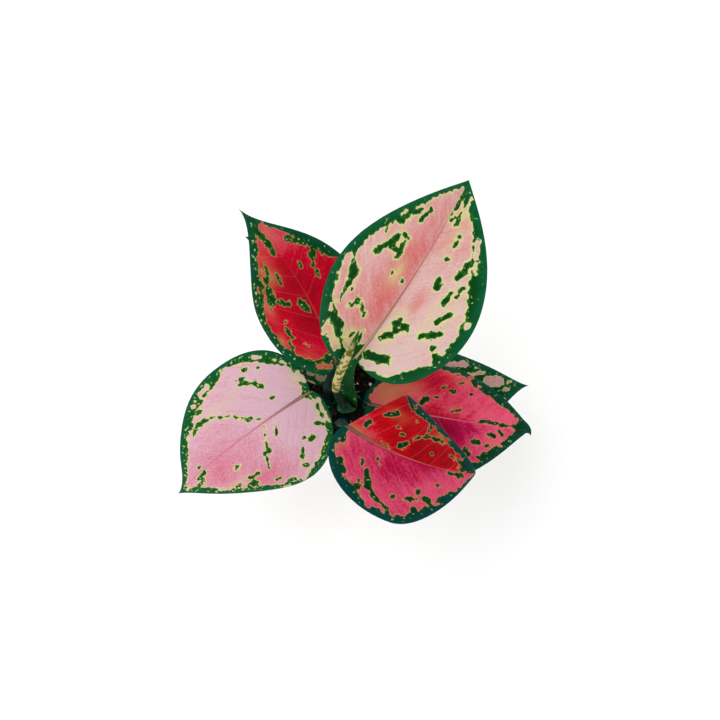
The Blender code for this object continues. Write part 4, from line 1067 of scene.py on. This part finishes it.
def makeSoil():
    # a domed disc with lumps, down the inside of the pot to its floor
    turn = -circle(220)[None, :]
    radius = (np.linspace(0.02, 1, 90) * (potInner(soil["edge"]) - soil["gap"]))[:, None]
    topRings = potRings(radius, turn, soilHeight(radius * np.cos(turn), radius * np.sin(turn)))
    down = np.linspace(soil["edge"] - 3, 8, 12)[:, None]
    sideRings = potRings(potInner(down) - soil["gap"], turn, down)
    bottom = pot["floor"] + soil["gap"]
    floorRings = potRings(np.array([[potInner(pot["floor"]) - pot["corner"]], [10.0]]), turn, bottom)
    skinRings = np.concatenate([topRings, sideRings, floorRings])
    points, faces = ringMesh(skinRings, [[0, 0, soilHeight(0.0, 0.0)]], [[0, 0, bottom]])
    makePiece("potting_mix_bed", points, faces, soilSkin(), "soil")
    bits = {
        # the peat crumbs share the bed's near-black, painted shade of the crown
        "crumbs": (3.0, crumbSkin("peatCrumb", "#070504", "#1c140e", 2.0), 31),
        "bark": (5.0, crumbSkin("barkChip", "#140d08", "#352415", 2.5), 32),
        "perlite": (2.6, crumbSkin("perliteGrain", "#b9b5ab", "#e6e3db", 1.2), 33)}
    for kind, (size, skin, seed) in bits.items():
        scatterBits("potting_mix_" + kind, soil[kind], size, skin, seed)


makePot()
makeSoil()
print("pot and potting mix made")


studio = dict(
    floorReach=12000, sky=1.5, overhead=0.13, keyPower=6.2, keySize=0.9, keyPlace=(-0.45, 0.35, 1.35),
    eye=(0.002, -0.0101, 0.88905), tilt=3.0, lens=50.0)


def floorSkin():
    # Seamless studio paper: matt and near white, with a faint tooth.
    skin, tree = newMaterial("studioPaper")
    spot = addNode(tree, "ShaderNodeTexCoord", out=3)
    tooth = noise(tree, spot, 600.0, 2.0)
    shade = mixed(tree, tooth, "#f9f9f9", "#fdfdfd")
    finishMaterial(tree, shade, 0.95)
    return skin


far = studio["floorReach"] * mm
floorMesh = bpy.data.meshes.new("paperFloor")
floorMesh.from_pydata([(-far, -far, 0), (far, -far, 0), (far, far, 0), (-far, far, 0)], [], [(0, 1, 2, 3)])
floorMesh.materials.append(floorSkin())
floor = bpy.data.objects.new("paperFloor", floorMesh)
bpy.context.scene.collection.objects.link(floor)

# white walls all round and a dim ceiling: level leaves keep their depth and turned edges catch a sheen
world = bpy.data.worlds.new("softRoom")
world.use_nodes = True
room = world.node_tree
room.nodes.clear()
upness = addNode(room, "ShaderNodeSeparateXYZ", {0: addNode(room, "ShaderNodeTexCoord")}, 2)
strength = ramp(room, upness, 0.62, 0.95, studio["sky"], studio["overhead"], smooth=True)
sky = addNode(room, "ShaderNodeBackground", {"Color": (1, 1, 1, 1), "Strength": strength})
addNode(room, "ShaderNodeOutputWorld", {"Surface": sky})
bpy.context.scene.world = world

lamp = bpy.data.lights.new("softbox", "AREA")
lamp.shape, lamp.size, lamp.energy = "DISK", studio["keySize"], studio["keyPower"]
softbox = bpy.data.objects.new("softbox", lamp)
softbox.location = studio["keyPlace"]
aim = np.array([0, 0, 0.15]) - np.array(studio["keyPlace"])
softbox.rotation_euler = (np.arctan2(np.hypot(aim[0], aim[1]), -aim[2]), 0, np.arctan2(-aim[0], aim[1]))
bpy.context.scene.collection.objects.link(softbox)

lens = bpy.data.cameras.new("camera")
lens.lens, lens.sensor_width, lens.clip_start = studio["lens"], 36.0, 0.05
camera = bpy.data.objects.new("camera", lens)
camera.location = studio["eye"]
camera.rotation_euler = (np.radians(studio["tilt"]), 0, 0)
bpy.context.scene.collection.objects.link(camera)
bpy.context.scene.camera = camera
bpy.context.scene.view_settings.view_transform = "Standard"

print("scene finished")
